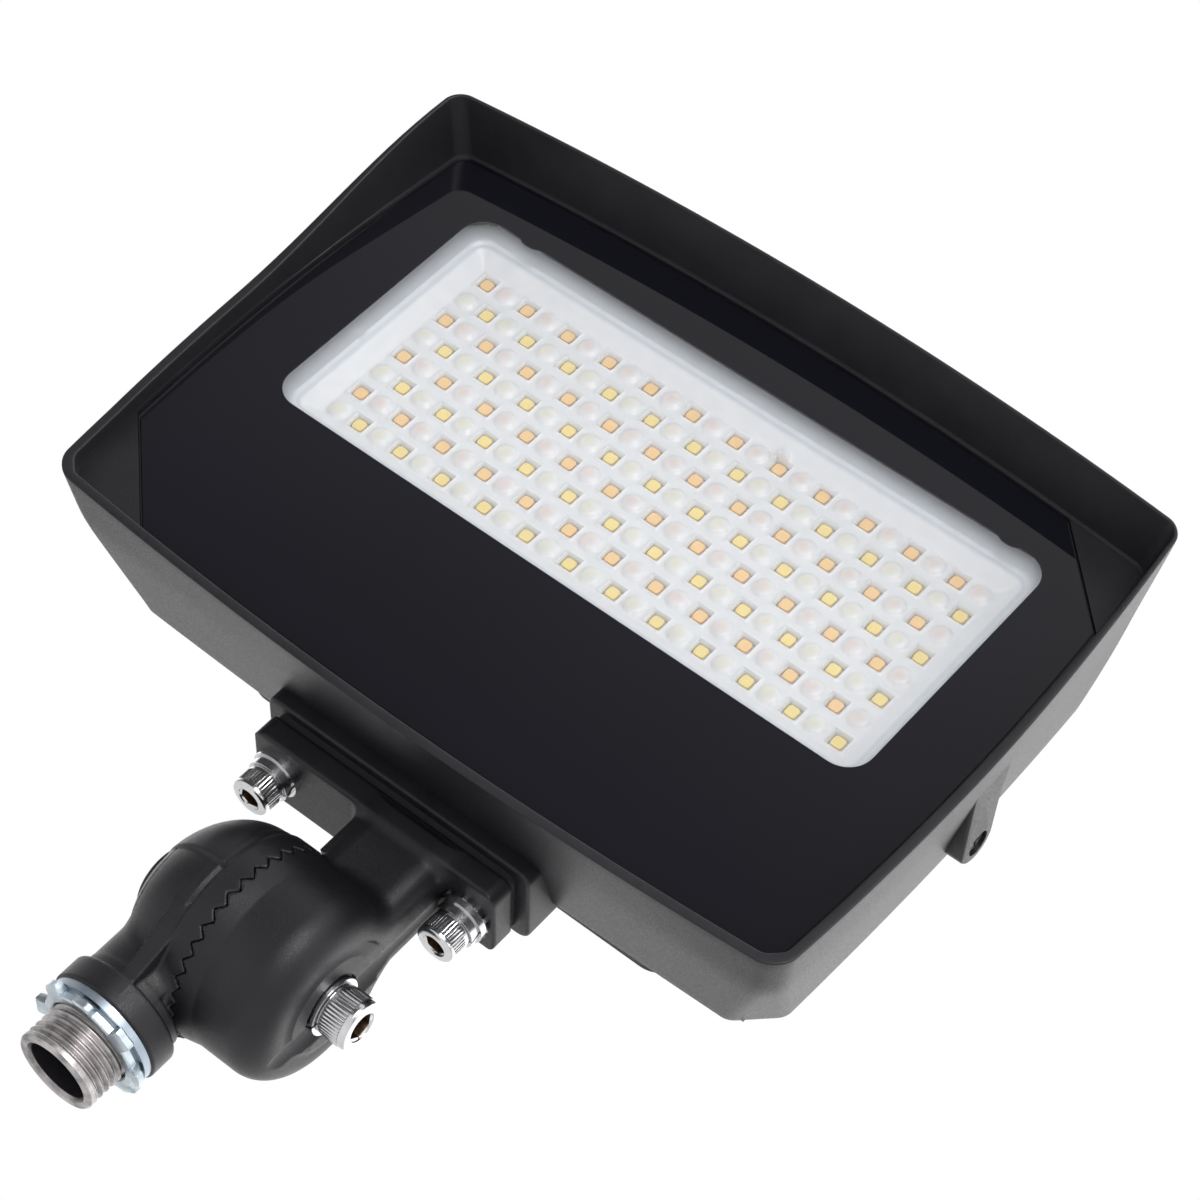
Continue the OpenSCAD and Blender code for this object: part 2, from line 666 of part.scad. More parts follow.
module housing() color(powder_black) in_head() difference() {
    union() {
        difference() {
            cast_hull(0);
            difference() {
                cast_hull(wall_t);
                kept_metal();
            }
            beyond_rim();
            behind_back();
        }
        driver_block(0);
        pad_block();
        side_lug();
        mirror([1, 0, 0]) side_lug();
    }
    difference() {
        translate([0, floor_t, 0]) driver_block(box_wall);
        cover_bosses();
        driver_feet();
    }
    // Way for the supply leads through the pad
    translate([lead_hole_x, arm_y - head_y, pad_face - 1])
        cylinder(r = lead_hole_r, h = box_wall - box_low - pad_face + 2);
    flange_bolt_places() cylinder(r = flange_bolt_d / 2 + seat / 2, h = gasket_t + m6_depth + 1);
    cover_screw_places() along_y(0, box_back - 12, 0) cylinder(r = cover_screw_r + seat / 2, h = 20);
    driver_ear_places(driver_y - driver_screw_l - screw_room) cylinder(r = m3_tap_r, h = 10);
    board_screw_places(floor_y - 1) cylinder(r = m3_tap_r, h = board_screw_l + screw_room + 1);
    along_y(lead_x, floor_y - 1, lead_hole_z) cylinder(r = grommet_r + seat, h = floor_t + 2);
    for (s = [-1, 1]) translate([s * (lug_in + 1), lug_screw_y, lug_screw_z]) rotate([0, s * 90, 0])
        union() {
            cylinder(r = lug_hole_r, h = lug_x);
            translate([0, 0, lug_x - lug_in - 1 - lug_recess]) cylinder(r = lug_sink_r, h = lug_x);
        }
    translate([box_half - 5, vent_y, vent_z]) rotate([0, 90, 0]) cylinder(r = vent_thread_r + seat / 2, h = 10);
    along_y(ground_x, floor_y + 1, ground_z) cylinder(r = ground_r + seat / 2, h = floor_t);
}

// Glass, seal and optics

module front_glass() color(glass_black) in_head() plate(0, glass_t) glass_shape(0);

module glass_seal() color(rubber_black) in_head() difference() {
    intersection() {
        cast_hull(wall_t + seat);
        plate(seal_y, ledge_y - seal_y) square(4 * front_half, center = true);
    }
    plate(-1, 1 + glass_t) glass_shape(0);
    plate(glass_t - 1, 3) glass_shape(4);
    plate(-1, ledge_y + 2) {
        web_low(seat);
        web_top(seat);
    }
}

tray_w = window_w + 2 * tray_margin;
tray_h = window_h + 2 * tray_margin;
tray_corner = window_corner + tray_margin;

module tray_bowl(y0, drawn) hull() {
    plate(tray_rim_y + y0, eps) rounded(tray_w - 2 * drawn, tray_h - 2 * drawn, tray_corner - drawn);
    plate(tray_floor_y + y0, eps) rounded(tray_w - 2 * tray_slope - 2 * drawn,
        tray_h - 2 * tray_slope + 2 * tray_margin - 2 * drawn, tray_corner / 2);
}

module led_places(tint, kind) for (r = [0:led_rows - 1], c = [0:led_cols - 1])
    if ((tint < 0 || r % 2 == tint) && (kind < 0 || (r + c) % 2 == kind))
        translate([(c - (led_cols - 1) / 2) * led_pitch_x, 0, ((led_rows - 1) / 2 - r) * led_pitch_z])
            children();

module optic_tray() color([0.9, 0.92, 0.94, 0.5]) in_head() {
    difference() {
        union() {
            plate(tray_rim_y, tray_t) rounded(tray_w, tray_h, tray_corner);
            tray_bowl(tray_t - eps, 0);
            for (x = [-2:2], z = [-1, 1])
                along_y(x * led_pitch_x * 6, tray_floor_y, z * (led_rows * led_pitch_z / 2 + foot_r))
                    cylinder(r = foot_r, h = led_face - tray_floor_y - seat / 2);
        }
        translate([0, -eps, 0]) tray_bowl(0, tray_t * 1.2);
    }
    led_places(-1, 1) along_y(0, tray_floor_y - 1, 0) cylinder(r = dome_d / 2, h = 1.2, $fn = 24);
}

module led_board() color([0.93, 0.93, 0.9]) in_head() difference() {
    plate(led_face, board_t) rounded(2 * board_half_w, 2 * board_half_h, 3);
    board_screw_places(led_face - 1) cylinder(r = m3_clear_r, h = board_t + 2);
}

module led_row(tint) in_head() led_places(tint, -1)
    translate([-led_size / 2, led_face - led_h, -led_size / 2]) cube([led_size, led_h, led_size]);

module warm_leds() color([1, 0.8, 0.5]) led_row(0);

module cool_leds() color([1, 0.93, 0.6]) led_row(1);

module board_screws() color(steel) in_head() for (x = [-1, 1], z = [-1, 1])
    translate([x * board_screw_x, led_face, z * board_screw_z]) rotate([90, 0, 0])
        pan_screw(m3_r, m3_head_r, m3_head_h, board_t + board_screw_l);

// Driver and its leads

module driver() color([0.8, 0.8, 0.82]) in_head() difference() {
    union() {
        translate([0, 0, driver_z]) plate(driver_y, driver_t) rounded(driver_l, driver_w, 2);
        translate([0, 0, driver_z]) plate(driver_y, driver_ear_t) rounded(driver_l + 2 * driver_ear, 12, 3);
    }
    driver_ear_places(driver_y - 1) cylinder(r = m3_clear_r, h = driver_ear_t + 2);
}

module driver_screws() color(steel) in_head() driver_ear_places(driver_y + driver_ear_t)
    pan_screw(m3_r, m3_head_r, m3_head_h, driver_ear_t + driver_screw_l);

// One output lead: down from the driver, forward through the floor, up to the board
module driver_lead(x) {
    top_y = driver_y + driver_t / 2;
    drop = driver_z - driver_w / 2;
    board_low = -board_half_h;
    front_y = led_face + board_t / 2;
    translate([x, top_y, lead_hole_z + lead_bend])
        cylinder(r = lead_r, h = drop - lead_hole_z - lead_bend, $fn = 24);
    translate([x, top_y - lead_bend, lead_hole_z + lead_bend]) rotate([0, 90, 0])
        rotate_extrude(angle = 90, start = 0) translate([lead_bend, 0]) circle(r = lead_r, $fn = 24);
    along_y(x, floor_y - lead_r, lead_hole_z)
        cylinder(r = lead_r, h = top_y - lead_bend - floor_y + lead_r, $fn = 24);
    translate([x, floor_y - lead_r, lead_hole_z]) sphere(r = lead_r, $fn = 24);
    translate([x, floor_y - lead_r, lead_hole_z]) cylinder(r = lead_r, h = board_low - lead_hole_z, $fn = 24);
}

module driver_leads() color([0.7, 0.1, 0.1]) in_head() for (s = [-1, 1]) driver_lead(lead_x + lead_gap * s);

module lead_grommet() color(rubber_black) in_head() along_y(lead_x, floor_y + 0.2, lead_hole_z) difference() {
    union() {
        cylinder(r = grommet_r, h = floor_t);
        translate([0, 0, floor_t - 0.1]) cylinder(r = grommet_r + 1.6, h = 1.2);
    }
    for (s = [-1, 1]) translate([lead_gap * s, 0, -1]) cylinder(r = lead_r + seat / 2, h = floor_t + 4);
}

// Rear cover and selector

module rear_cover_gasket() color(rubber_black) in_head() difference() {
    plate(box_back, cover_gasket_t) cover_shape(0.5);
    plate(box_back - 1, cover_gasket_t + 2) difference() {
        cover_shape(box_wall);
        for (x = [-1, 0, 1], z = [box_top - cover_screw_in, cover_screw_in - box_low])
            translate([x * (box_half - cover_screw_in), z]) circle(cover_boss_r);
    }
    cover_screw_places() along_y(0, box_back - 1, 0) cylinder(r = cover_screw_r + free, h = 5);
}

cover_ribs = 5;
cover_rib_h = 2.5;
cover_rib_pitch = 12;
cover_rib_l = 56;
cover_rib_in = 24;              // the first rib's distance from the cover's edge
cover_head_r = 3.5;
cover_head_h = 3.6;
cover_screw_depth = 10;         // reach of the cover's screws in their bosses
selector_board_edge = 4;        // the board's overhang past its posts
selector_board_h = 16;
selector_screw_l = 6.5;

module selector_post_places(y) for (s = [-1, 1])
    along_y(selector_x + s * selector_post_x, y, selector_z) children();

module rear_cover() color(powder_black) in_head() difference() {
    union() {
        plate(cover_y, cover_t) cover_shape(0);
        for (i = [0:cover_ribs - 1])
            translate([cover_rib_in - box_half + i * cover_rib_pitch, cover_out - eps, box_mid - cover_rib_l / 2])
                cube([fin_t + 0.4, cover_rib_h, cover_rib_l]);
        along_y(selector_x, cover_out - eps, selector_z) cylinder(r = selector_hole_r + 4, h = cover_rib_h);
        selector_post_places(cover_y - selector_back) cylinder(r = selector_post_r, h = selector_back + eps);
    }
    along_y(selector_x, cover_y - 1, selector_z) cylinder(r = selector_hole_r, h = 20);
    cover_screw_places() along_y(0, cover_y - 1, 0) cylinder(r = cover_screw_r + free, h = cover_t + 2);
    selector_post_places(cover_y - selector_back - 1) cylinder(r = m2_tap_r, h = selector_screw_l + 1);
}

module rear_cover_screws() color(steel) in_head() cover_screw_places() translate([0, cover_out, 0])
    rotate([-90, 0, 0])
        cap_screw(cover_screw_r, cover_head_r, cover_head_h, cover_t + cover_gasket_t + cover_screw_depth);

module selector_board() color([0.1, 0.35, 0.2]) in_head() difference() {
    translate([selector_x, 0, selector_z]) plate(cover_y - selector_back - selector_board_t, selector_board_t)
        rounded(2 * (selector_post_x + selector_board_edge), selector_board_h, 2);
    selector_post_places(cover_y - selector_back - 3) cylinder(r = m2_clear_r, h = 5);
}

module selector_screws() color(steel) in_head() for (s = [-1, 1])
    translate([selector_x + s * selector_post_x, cover_y - selector_back - selector_board_t, selector_z])
        rotate([90, 0, 0]) pan_screw(m2_r, m2_head_r, m2_head_h, selector_screw_l);

module selector_switch() color([0.15, 0.15, 0.16]) in_head()
    translate([selector_x, cover_y - selector_back, selector_z]) difference() {
        translate([-switch_w / 2, 0, -switch_h / 2]) cube([switch_w, switch_t, switch_h]);
        translate([-knob_w / 2 - selector_travel - free, switch_t - knob_in, -knob_h / 2 - free])
            cube([knob_w + 2 * selector_travel + 2 * free, 3, knob_h + 2 * free]);
    }

module tint_slider() color([0.9, 0.9, 0.88]) in_head()
    translate([selector_x, cover_y - selector_back + switch_t - knob_in + seat, selector_z])
        translate([-knob_w / 2, 0, -knob_h / 2]) cube([knob_w, knob_in - seat + knob_out, knob_h]);

module selector_plug() color(rubber_black) in_head()
    along_y(selector_x, cover_y + 0.5, selector_z) difference() {
        union() {
            cylinder(r = selector_hole_r - seat / 2, h = cover_t + cover_rib_h);
            translate([0, 0, cover_t + cover_rib_h - 0.5]) cylinder(r = selector_hole_r + 2.5, h = 1.8);
        }
        translate([0, 0, -1]) cylinder(r = selector_hole_r - 2.5, h = cover_t + 2);
    }

// Small fittings

module side_lug_screws() color(steel) in_head() for (s = [-1, 1])
    translate([s * (lug_x - lug_recess), lug_screw_y, lug_screw_z]) rotate([0, s * 90, 0])
        pan_screw(lug_screw_r, lug_head_r, lug_head_h, 6);

module vent_plug() color(rubber_black) in_head() translate([box_half, vent_y, vent_z]) rotate([0, 90, 0]) {
    cylinder(r = 6.4, h = 3, $fn = 6);
    translate([0, 0, 3 - eps]) cylinder(r = 5, h = 1.2);
    translate([0, 0, -vent_thread_l]) cylinder(r = vent_thread_r, h = vent_thread_l + eps);
}

module ground_screw() color([0.2, 0.5, 0.25]) in_head()
    translate([ground_x, floor_y + floor_t, ground_z]) rotate([-90, 0, 0])
        pan_screw(ground_r, ground_head_r, ground_head_h, floor_t - 1.2);

knuckle_base();
pivot_bolt();
pivot_spring_washer();
knuckle_seal();
sealing_washer();
locknut();
knuckle_arm();
flange_gasket();
flange_bolts();
flange_spring_washers();
flange_flat_washers();
flange_star_washer();
housing();
front_glass();
glass_seal();
optic_tray();
led_board();
warm_leds();
cool_leds();
board_screws();
driver();
driver_screws();
driver_leads();
lead_grommet();
rear_cover();
rear_cover_gasket();
rear_cover_screws();
side_lug_screws();
vent_plug();
ground_screw();
selector_board();
selector_switch();
selector_screws();
selector_plug();
tint_slider();
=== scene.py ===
import json
import math
import bmesh
import bpy
import numpy as np
from mathutils import Matrix, Vector


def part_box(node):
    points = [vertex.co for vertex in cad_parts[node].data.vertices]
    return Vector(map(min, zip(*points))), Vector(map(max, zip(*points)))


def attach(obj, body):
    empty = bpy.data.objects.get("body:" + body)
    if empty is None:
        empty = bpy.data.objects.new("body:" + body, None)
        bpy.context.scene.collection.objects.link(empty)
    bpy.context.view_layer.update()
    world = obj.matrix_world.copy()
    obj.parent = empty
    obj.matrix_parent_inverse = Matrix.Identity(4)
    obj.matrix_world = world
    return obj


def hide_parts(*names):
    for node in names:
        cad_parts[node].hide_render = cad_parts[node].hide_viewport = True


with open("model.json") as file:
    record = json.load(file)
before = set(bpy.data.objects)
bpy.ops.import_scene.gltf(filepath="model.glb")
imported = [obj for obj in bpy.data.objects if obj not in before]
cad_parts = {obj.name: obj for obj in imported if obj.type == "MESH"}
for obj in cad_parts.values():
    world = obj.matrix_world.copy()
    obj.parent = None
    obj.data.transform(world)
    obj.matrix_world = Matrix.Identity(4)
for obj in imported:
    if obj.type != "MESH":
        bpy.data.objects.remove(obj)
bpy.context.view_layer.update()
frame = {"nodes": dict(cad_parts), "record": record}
mm = 0.001

# Places taken from the frame, in millimetres
pivotX, pivotY, pivotZ = [v / mm for v in frame["record"]["behaviour"]["joints"][0]["pos_m"]]
boardLow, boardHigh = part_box("led_board")
glassLow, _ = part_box("front_glass")
headX = (boardLow.x + boardHigh.x) / 2 / mm
headY = glassLow.y / mm
headZ = (boardLow.z + boardHigh.z) / 2 / mm
headPlace = np.array([headX, headY, headZ])


# Camera, at the photograph's angle

photoView = {
    "place": (0.30997, -0.6392, -0.23525),
    "right": (0.77243, -0.02648, 0.63454),
    "up": (-0.51355, -0.61388, 0.59952),
    "forward": (-0.37365, 0.78896, 0.48778),
    "lens": 102.27,     # on a 36 mm frame
}


def addCamera():
    data = bpy.data.cameras.new("photoCamera")
    data.lens = photoView["lens"]
    data.sensor_width = 36
    data.clip_start = 0.01
    data.clip_end = 30
    camera = bpy.data.objects.new("photoCamera", data)
    right, up, forward = [Vector(photoView[k]).normalized() for k in ("right", "up", "forward")]
    turn = Matrix((right, up, -forward)).transposed().to_4x4()
    camera.matrix_world = Matrix.Translation(photoView["place"]) @ turn
    bpy.context.collection.objects.link(camera)
    bpy.context.scene.camera = camera


addCamera()
print("camera placed")


# Material building

def newMaterial(name, **values):
    material = bpy.data.materials.new(name)
    material.use_nodes = True
    shader = material.node_tree.nodes["Principled BSDF"]
    for key, value in values.items():
        shader.inputs[key].default_value = value
    return material, material.node_tree, shader


def addNode(tree, kind, links=None, **values):
    node = tree.nodes.new("ShaderNode" + kind)
    for key, value in values.items():
        node.inputs[key].default_value = value
    for key, source in (links or {}).items():
        tree.links.new(source, node.inputs[key])
    return node


def mapRange(tree, source, *limits):
    names = ("From Min", "From Max", "To Min", "To Max")
    return addNode(tree, "MapRange", {"Value": source}, **dict(zip(names, limits)))


def objectNoise(tree, scale, detail=2.0, roughness=0.5, stretch=(1, 1, 1)):
    place = addNode(tree, "TexCoord").outputs["Object"]
    mapping = addNode(tree, "Mapping", {"Vector": place}, Scale=stretch)
    return addNode(tree, "TexNoise", {"Vector": mapping.outputs["Vector"]}, Scale=scale, Detail=detail,
                   Roughness=roughness).outputs["Fac"]


def spread(tree, source, low, high):
    # carries a noise pattern over to a range of values
    return mapRange(tree, source, 0.3, 0.7, low, high).outputs["Result"]


def blendColours(tree, source, first, second):
    node = tree.nodes.new("ShaderNodeMix")
    node.data_type = "RGBA"
    node.inputs["A"].default_value = (*first, 1)
    node.inputs["B"].default_value = (*second, 1)
    tree.links.new(source, node.inputs["Factor"])
    return node.outputs["Result"]


def addBump(tree, shader, source, depth, strength=1.0):
    bump = addNode(tree, "Bump", {"Height": source}, Strength=strength, Distance=depth)
    tree.links.new(bump.outputs["Normal"], shader.inputs["Normal"])


def surface(name, colours, rough, grain, cloud=None, bump=None, **values):
    # the grain drives roughness and bump, and blends the two colours unless a cloud does
    material, tree, shader = newMaterial(name, **values)
    marks = objectNoise(tree, *grain)
    blend = spread(tree, objectNoise(tree, *cloud), 0, 1) if cloud else marks
    tree.links.new(blendColours(tree, blend, *colours), shader.inputs["Base Color"])
    tree.links.new(spread(tree, marks, *rough), shader.inputs["Roughness"])
    if bump:
        addBump(tree, shader, marks, *bump)
    return material


def metal(name, dark, light, rough, grain, depth, stretch=(1, 1, 1)):
    return surface(name, (dark, light), rough, (grain, 4, 0.6, stretch), (200, 2), (depth, 0.5), Metallic=1.0)


def rubber(name, shade):
    return surface(name, (shade, [1.5 * v for v in shade]), (0.5, 0.7), (1500, 3), None, (0.00003, 0.4),
                   **{"Specular IOR Level": 0.3})


def plastic(name, colour, rough=0.4):
    return surface(name, ([0.9 * v for v in colour], colour), (rough - 0.05, rough + 0.1), (2500, 2), None,
                   (0.00001, 0.3))


def phosphor(name, colour):
    return surface(name, ([0.94 * v for v in colour], colour), (0.45, 0.6), (2200, 3))


def clearOptic():
    material, tree, shader = newMaterial("clear optic", **{"Coat Weight": 0.2, "Coat Roughness": 0.25,
                                                            "Subsurface Weight": 0.15})
    # the point colours carry the chips' colour seen through the domes and painted shade on the lip and along the
    # groove line
    tintAndShade = tree.nodes.new("ShaderNodeAttribute")
    tintAndShade.attribute_name = "phosphorTintAndShade"
    cloud = objectNoise(tree, 300, 3)
    grey = blendColours(tree, spread(tree, cloud, 0, 1), (0.89, 0.865, 0.87), (0.94, 0.915, 0.92))
    mix = tree.nodes.new("ShaderNodeMix")
    mix.data_type = "RGBA"
    mix.blend_type = "MULTIPLY"
    mix.inputs["Factor"].default_value = 1
    tree.links.new(grey, mix.inputs["A"])
    tree.links.new(tintAndShade.outputs["Color"], mix.inputs["B"])
    tree.links.new(mix.outputs["Result"], shader.inputs["Base Color"])
    tree.links.new(spread(tree, cloud, 0.38, 0.5), shader.inputs["Roughness"])
    return material


looks = {
    "powder_coat": surface("powder coat", ((0.005, 0.005, 0.0072), (0.009, 0.0088, 0.0122)), (0.3, 0.6),
                           (3400, 3, 0.65), (90, 3), (0.00009, 0.7), **{"Specular IOR Level": 0.34}),
    "bare_casting": surface("bare cast thread", ((0.20, 0.19, 0.195), (0.52, 0.49, 0.485)), (0.28, 0.5),
                            (900, 4, 0.6, (1, 1, 3)), (260, 3), (0.00006, 0.5), Metallic=1.0),
    "stainless": metal("stainless", (0.55, 0.55, 0.56), (0.68, 0.68, 0.69), (0.14, 0.26), 3000, 0.00001),
    "black_steel": metal("black steel", (0.03, 0.03, 0.033), (0.06, 0.06, 0.063), (0.3, 0.45), 2500, 0.00001),
    "zinc_rough": metal("hammered zinc", (0.36, 0.42, 0.46), (0.58, 0.64, 0.68), (0.3, 0.48), 1300, 0.00008),
    "zinc_smooth": metal("smooth zinc", (0.30, 0.35, 0.41), (0.36, 0.41, 0.47), (0.35, 0.5), 2500, 0.00001),
    "front_glass": surface("front glass", ((0.55, 0.57, 0.6), (0.62, 0.64, 0.66)), (0.02, 0.05), (25, 3), Alpha=0.1),
    "black_print": surface("black print", ((0.004, 0.004, 0.0078), (0.005, 0.005, 0.0095)), (0.025, 0.045),
                           (12, 2), (12, 2), **{"Specular IOR Level": 0.5}),
    "clear_optic": clearOptic(),
    "board_white": plastic("white board", (0.82, 0.83, 0.83)),
    "warm_phosphor": phosphor("warm phosphor", (1.0, 0.66, 0.29)),
    "cool_phosphor": phosphor("cool phosphor", (1.0, 0.80, 0.29)),
    "led_package": plastic("chip package", (0.86, 0.87, 0.88), 0.35),
    "driver_case": metal("drawn aluminium", (0.5, 0.5, 0.51), (0.62, 0.62, 0.63), (0.3, 0.42), 900, 0.00002,
                         (1, 1, 8)),
    "seal_rubber": rubber("black silicone", (0.012, 0.012, 0.013)),
    "vent_plastic": plastic("black nylon", (0.02, 0.02, 0.021), 0.45),
    "lead_red": plastic("silicone lead", (0.5, 0.04, 0.03), 0.35),
    "ground_green": plastic("green screw", (0.05, 0.25, 0.08), 0.35),
    "board_green": plastic("circuit board", (0.02, 0.16, 0.07), 0.35),
    "switch_black": plastic("switch body", (0.02, 0.02, 0.02), 0.45),
    "slider_white": plastic("switch slider", (0.75, 0.75, 0.72)),
    "socket_brown": metal("dark brown socket", (0.10, 0.065, 0.04), (0.24, 0.16, 0.10), (0.25, 0.45), 1800, 0.00004),
}
print("materials made:", len(looks))


# Piece building, in millimetres

def looseMesh(name, points, faces):
    mesh = bpy.data.meshes.new(name)
    mesh.from_pydata(np.asarray(points, float) * mm, [], [tuple(int(i) for i in f) for f in faces])
    piece = bpy.data.objects.new(name, mesh)
    bpy.context.collection.objects.link(piece)
    return piece


def dress(piece, slots, body, stands=(), angle=35, faceSlots=None):
    # materials, soft and sharp edges, then the body, the slot and the nodes that the piece stands for
    mesh = piece.data
    slots = [slots] if isinstance(slots, str) else slots
    mesh.materials.clear()
    for s in slots:
        mesh.materials.append(looks[s])
    if faceSlots is not None:
        mesh.polygons.foreach_set("material_index", np.asarray(faceSlots, np.int32))
    mesh.validate()
    mesh.polygons.foreach_set("use_smooth", np.ones(len(mesh.polygons), bool))
    mesh.set_sharp_from_angle(angle=math.radians(angle))
    mesh.update()
    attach(piece, body)
    if stands:
        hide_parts(*stands)
    return piece


def makePiece(name, points, faces, *rest):
    return dress(looseMesh(name, points, faces), *rest)


def joinSolid(piece, tool, how):
    # unites or cuts with another closed mesh, which is then thrown away
    cut = piece.modifiers.new("join", "BOOLEAN")
    cut.operation = how
    cut.solver = "MANIFOLD"
    cut.object = tool
    bpy.context.view_layer.update()
    graph = bpy.context.evaluated_depsgraph_get()
    mesh = bpy.data.meshes.new_from_object(piece.evaluated_get(graph))
    piece.modifiers.clear()
    piece.data = mesh
    old = tool.data
    bpy.data.objects.remove(tool)
    bpy.data.meshes.remove(old)


def ringFaces(rows, count, ends=True):
    # quads between rows of points that run round, with a face at each end
    faces = []
    for r in range(rows - 1):
        for i in range(count):
            j = (i + 1) % count
            faces.append((r * count + i, r * count + j, (r + 1) * count + j, (r + 1) * count + i))
    if ends:
        faces.append(tuple(range(count))[::-1])
        faces.append(tuple((rows - 1) * count + i for i in range(count)))
    return faces


def loopFaces(rows, count):
    # quads between the rows, and from the last row back to the first
    last = (rows - 1) * count
    return ringFaces(rows, count, False) + [(last + i, last + (i + 1) % count, (i + 1) % count, i)
                                            for i in range(count)]


def turned(profile, count, place=(0, 0, 0), along="Z"):
    # rows of (radius, height), the radius a number or one value for each angle
    angles = np.arange(count) * 2 * math.pi / count
    rows = []
    for radius, height in profile:
        radius = np.broadcast_to(radius, (count,))
        height = np.broadcast_to(height, (count,))
        rows.append(np.stack([radius * np.cos(angles), radius * np.sin(angles), height], 1))
    points = np.concatenate(rows)
    if along == "X":
        points = points[:, [2, 0, 1]]
    if along == "-Z":
        points = points * [1, -1, -1]
    return points + np.array(place), ringFaces(len(profile), count)


def roundedOutline(w, h, r, steps=8):
    # anticlockwise in the plane, centred
    points = []
    for cx, cy, start in ((1, 1, 0), (-1, 1, 90), (-1, -1, 180), (1, -1, 270)):
        for i in range(steps + 1):
            a = math.radians(start + 90 * i / steps)
            points.append((cx * (w / 2 - r) + r * math.cos(a), cy * (h / 2 - r) + r * math.sin(a)))
    return np.array(points)


def laidOut(points, faces, axes):
    # the first two values along the first two axes named, the third along the last
    order = ["XYZ".index(a) for a in axes]
    placed = np.empty_like(points)
    placed[:, order] = points
    if np.linalg.det(np.eye(3)[order]) < 0:
        faces = [f[::-1] for f in faces]
    return placed, faces


def softPlate(outline, low, high, edge, axes="XZY"):
    # a plate with rounded rims: the outline in two axes, its thickness along the third
    centre = outline.mean(0)
    rows = []
    steps = 4
    size = np.abs(outline - centre).max(0)
    for level, sign in ((low, 1), (high, -1)):
        for i in range(steps + 1):
            a = math.radians(90 * i / steps)
            inward = edge * (1 - math.sin(a)) if sign > 0 else edge * (1 - math.cos(a))
            rise = edge * (1 - math.cos(a)) if sign > 0 else edge * (1 - math.sin(a))
            scale = 1 - inward / size
            flat = centre + (outline - centre) * scale
            rows.append(np.column_stack([flat, np.full(len(flat), level + sign * rise)]))
    return laidOut(np.concatenate(rows), ringFaces(2 * steps + 2, len(outline)), axes)


# Cast shapes from a distance function

def smoothUnion(a, b, k):
    h = np.clip(0.5 + 0.5 * (b - a) / k, 0, 1)
    return b * (1 - h) + a * h - k * h * (1 - h)


def smoothCut(a, b, k):
    return -smoothUnion(-a, -b, k)


def roundBox(x, y, z, low, high, r):
    low, high = np.array(low, float), np.array(high, float)
    centre, half = (low + high) / 2, (high - low) / 2 - r
    d = [np.abs(v - c) - h for v, c, h in zip((x, y, z), centre, half)]
    outside = np.sqrt(sum(np.maximum(v, 0) ** 2 for v in d))
    return outside + np.minimum(np.maximum(np.maximum(d[0], d[1]), d[2]), 0) - r


def cornerDistance(d0, d1, r):
    return np.sqrt(np.maximum(d0, 0) ** 2 + np.maximum(d1, 0) ** 2) + np.minimum(np.maximum(d0, d1), 0) - r


def roundDisc(radial, along, radius, low, high, r):
    d0 = radial - (radius - r)
    d1 = np.abs(along - (low + high) / 2) - ((high - low) / 2 - r)
    return cornerDistance(d0, d1, r)


def castMesh(distance, low, high, cell):
    # closed skin where the distance is zero: one point in each mixed cell, then moved onto the surface
    low = np.array(low, float)
    count = [int(math.ceil((h - l) / cell)) + 1 for l, h in zip(low, high)]
    axes = [l + cell * np.arange(n) for l, n in zip(low, count)]
    field = np.empty(count, np.float32)
    for i, x in enumerate(axes[0]):
        y, z = np.meshgrid(axes[1], axes[2], indexing="ij")
        field[i] = distance(np.full_like(y, x), y, z)
    inside = field < 0
    shape = np.array(count) - 1
    corners = np.array([(i, j, k) for i in (0, 1) for j in (0, 1) for k in (0, 1)])
    total = np.zeros(shape, np.int8)
    for c in corners:
        total += inside[c[0]:c[0] + shape[0], c[1]:c[1] + shape[1], c[2]:c[2] + shape[2]]
    cells = np.argwhere((total > 0) & (total < 8))
    index = np.full(shape, -1, np.int64)
    index[tuple(cells.T)] = np.arange(len(cells))
    values = np.stack([field[tuple((cells + c).T)] for c in corners], 1)
    place = np.zeros((len(cells), 3))
    hits = np.zeros(len(cells))
    for a in range(8):
        for b in range(a + 1, 8):
            if np.abs(corners[a] - corners[b]).sum() != 1:
                continue
            crossing = (values[:, a] < 0) != (values[:, b] < 0)
            gap = np.where(crossing, values[:, a] - values[:, b], 1)
            t = np.where(crossing, values[:, a] / gap, 0)[:, None]
            place += crossing[:, None] * (corners[a] + (corners[b] - corners[a]) * t)
            hits += crossing
    points = low + cell * (cells + place / hits[:, None])
    for _ in range(3):
        value = distance(*points.T)
        slope = np.stack([(distance(*(points + cell * 0.1 * np.eye(3)[k]).T) - value) / (cell * 0.1)
                          for k in range(3)], 1)
        steep = np.maximum((slope ** 2).sum(1), 0.2)
        move = -(value / steep)[:, None] * slope
        reach = np.linalg.norm(move, axis=1, keepdims=True)
        points += move * np.minimum(1, 0.4 * cell / np.maximum(reach, 1e-9))
    faces = []
    for axis in range(3):
        u, v = (axis + 1) % 3, (axis + 2) % 3
        first = np.take(inside, range(0, count[axis] - 1), axis)
        second = np.take(inside, range(1, count[axis]), axis)
        spots = np.argwhere(first != second)
        spots = spots[(spots[:, u] > 0) & (spots[:, v] > 0) & (spots[:, u] < shape[u]) & (spots[:, v] < shape[v])]
        solid = first[tuple(spots.T)]
        quad = []
        for du, dv in ((0, 0), (-1, 0), (-1, -1), (0, -1)):
            moved = spots.copy()
            moved[:, u] += du
            moved[:, v] += dv
            quad.append(index[tuple(moved.T)])
        quad = np.stack(quad, 1)
        quad[~solid] = quad[~solid][:, ::-1]
        faces.append(quad)
    return points, np.concatenate(faces)


# Knuckle halves

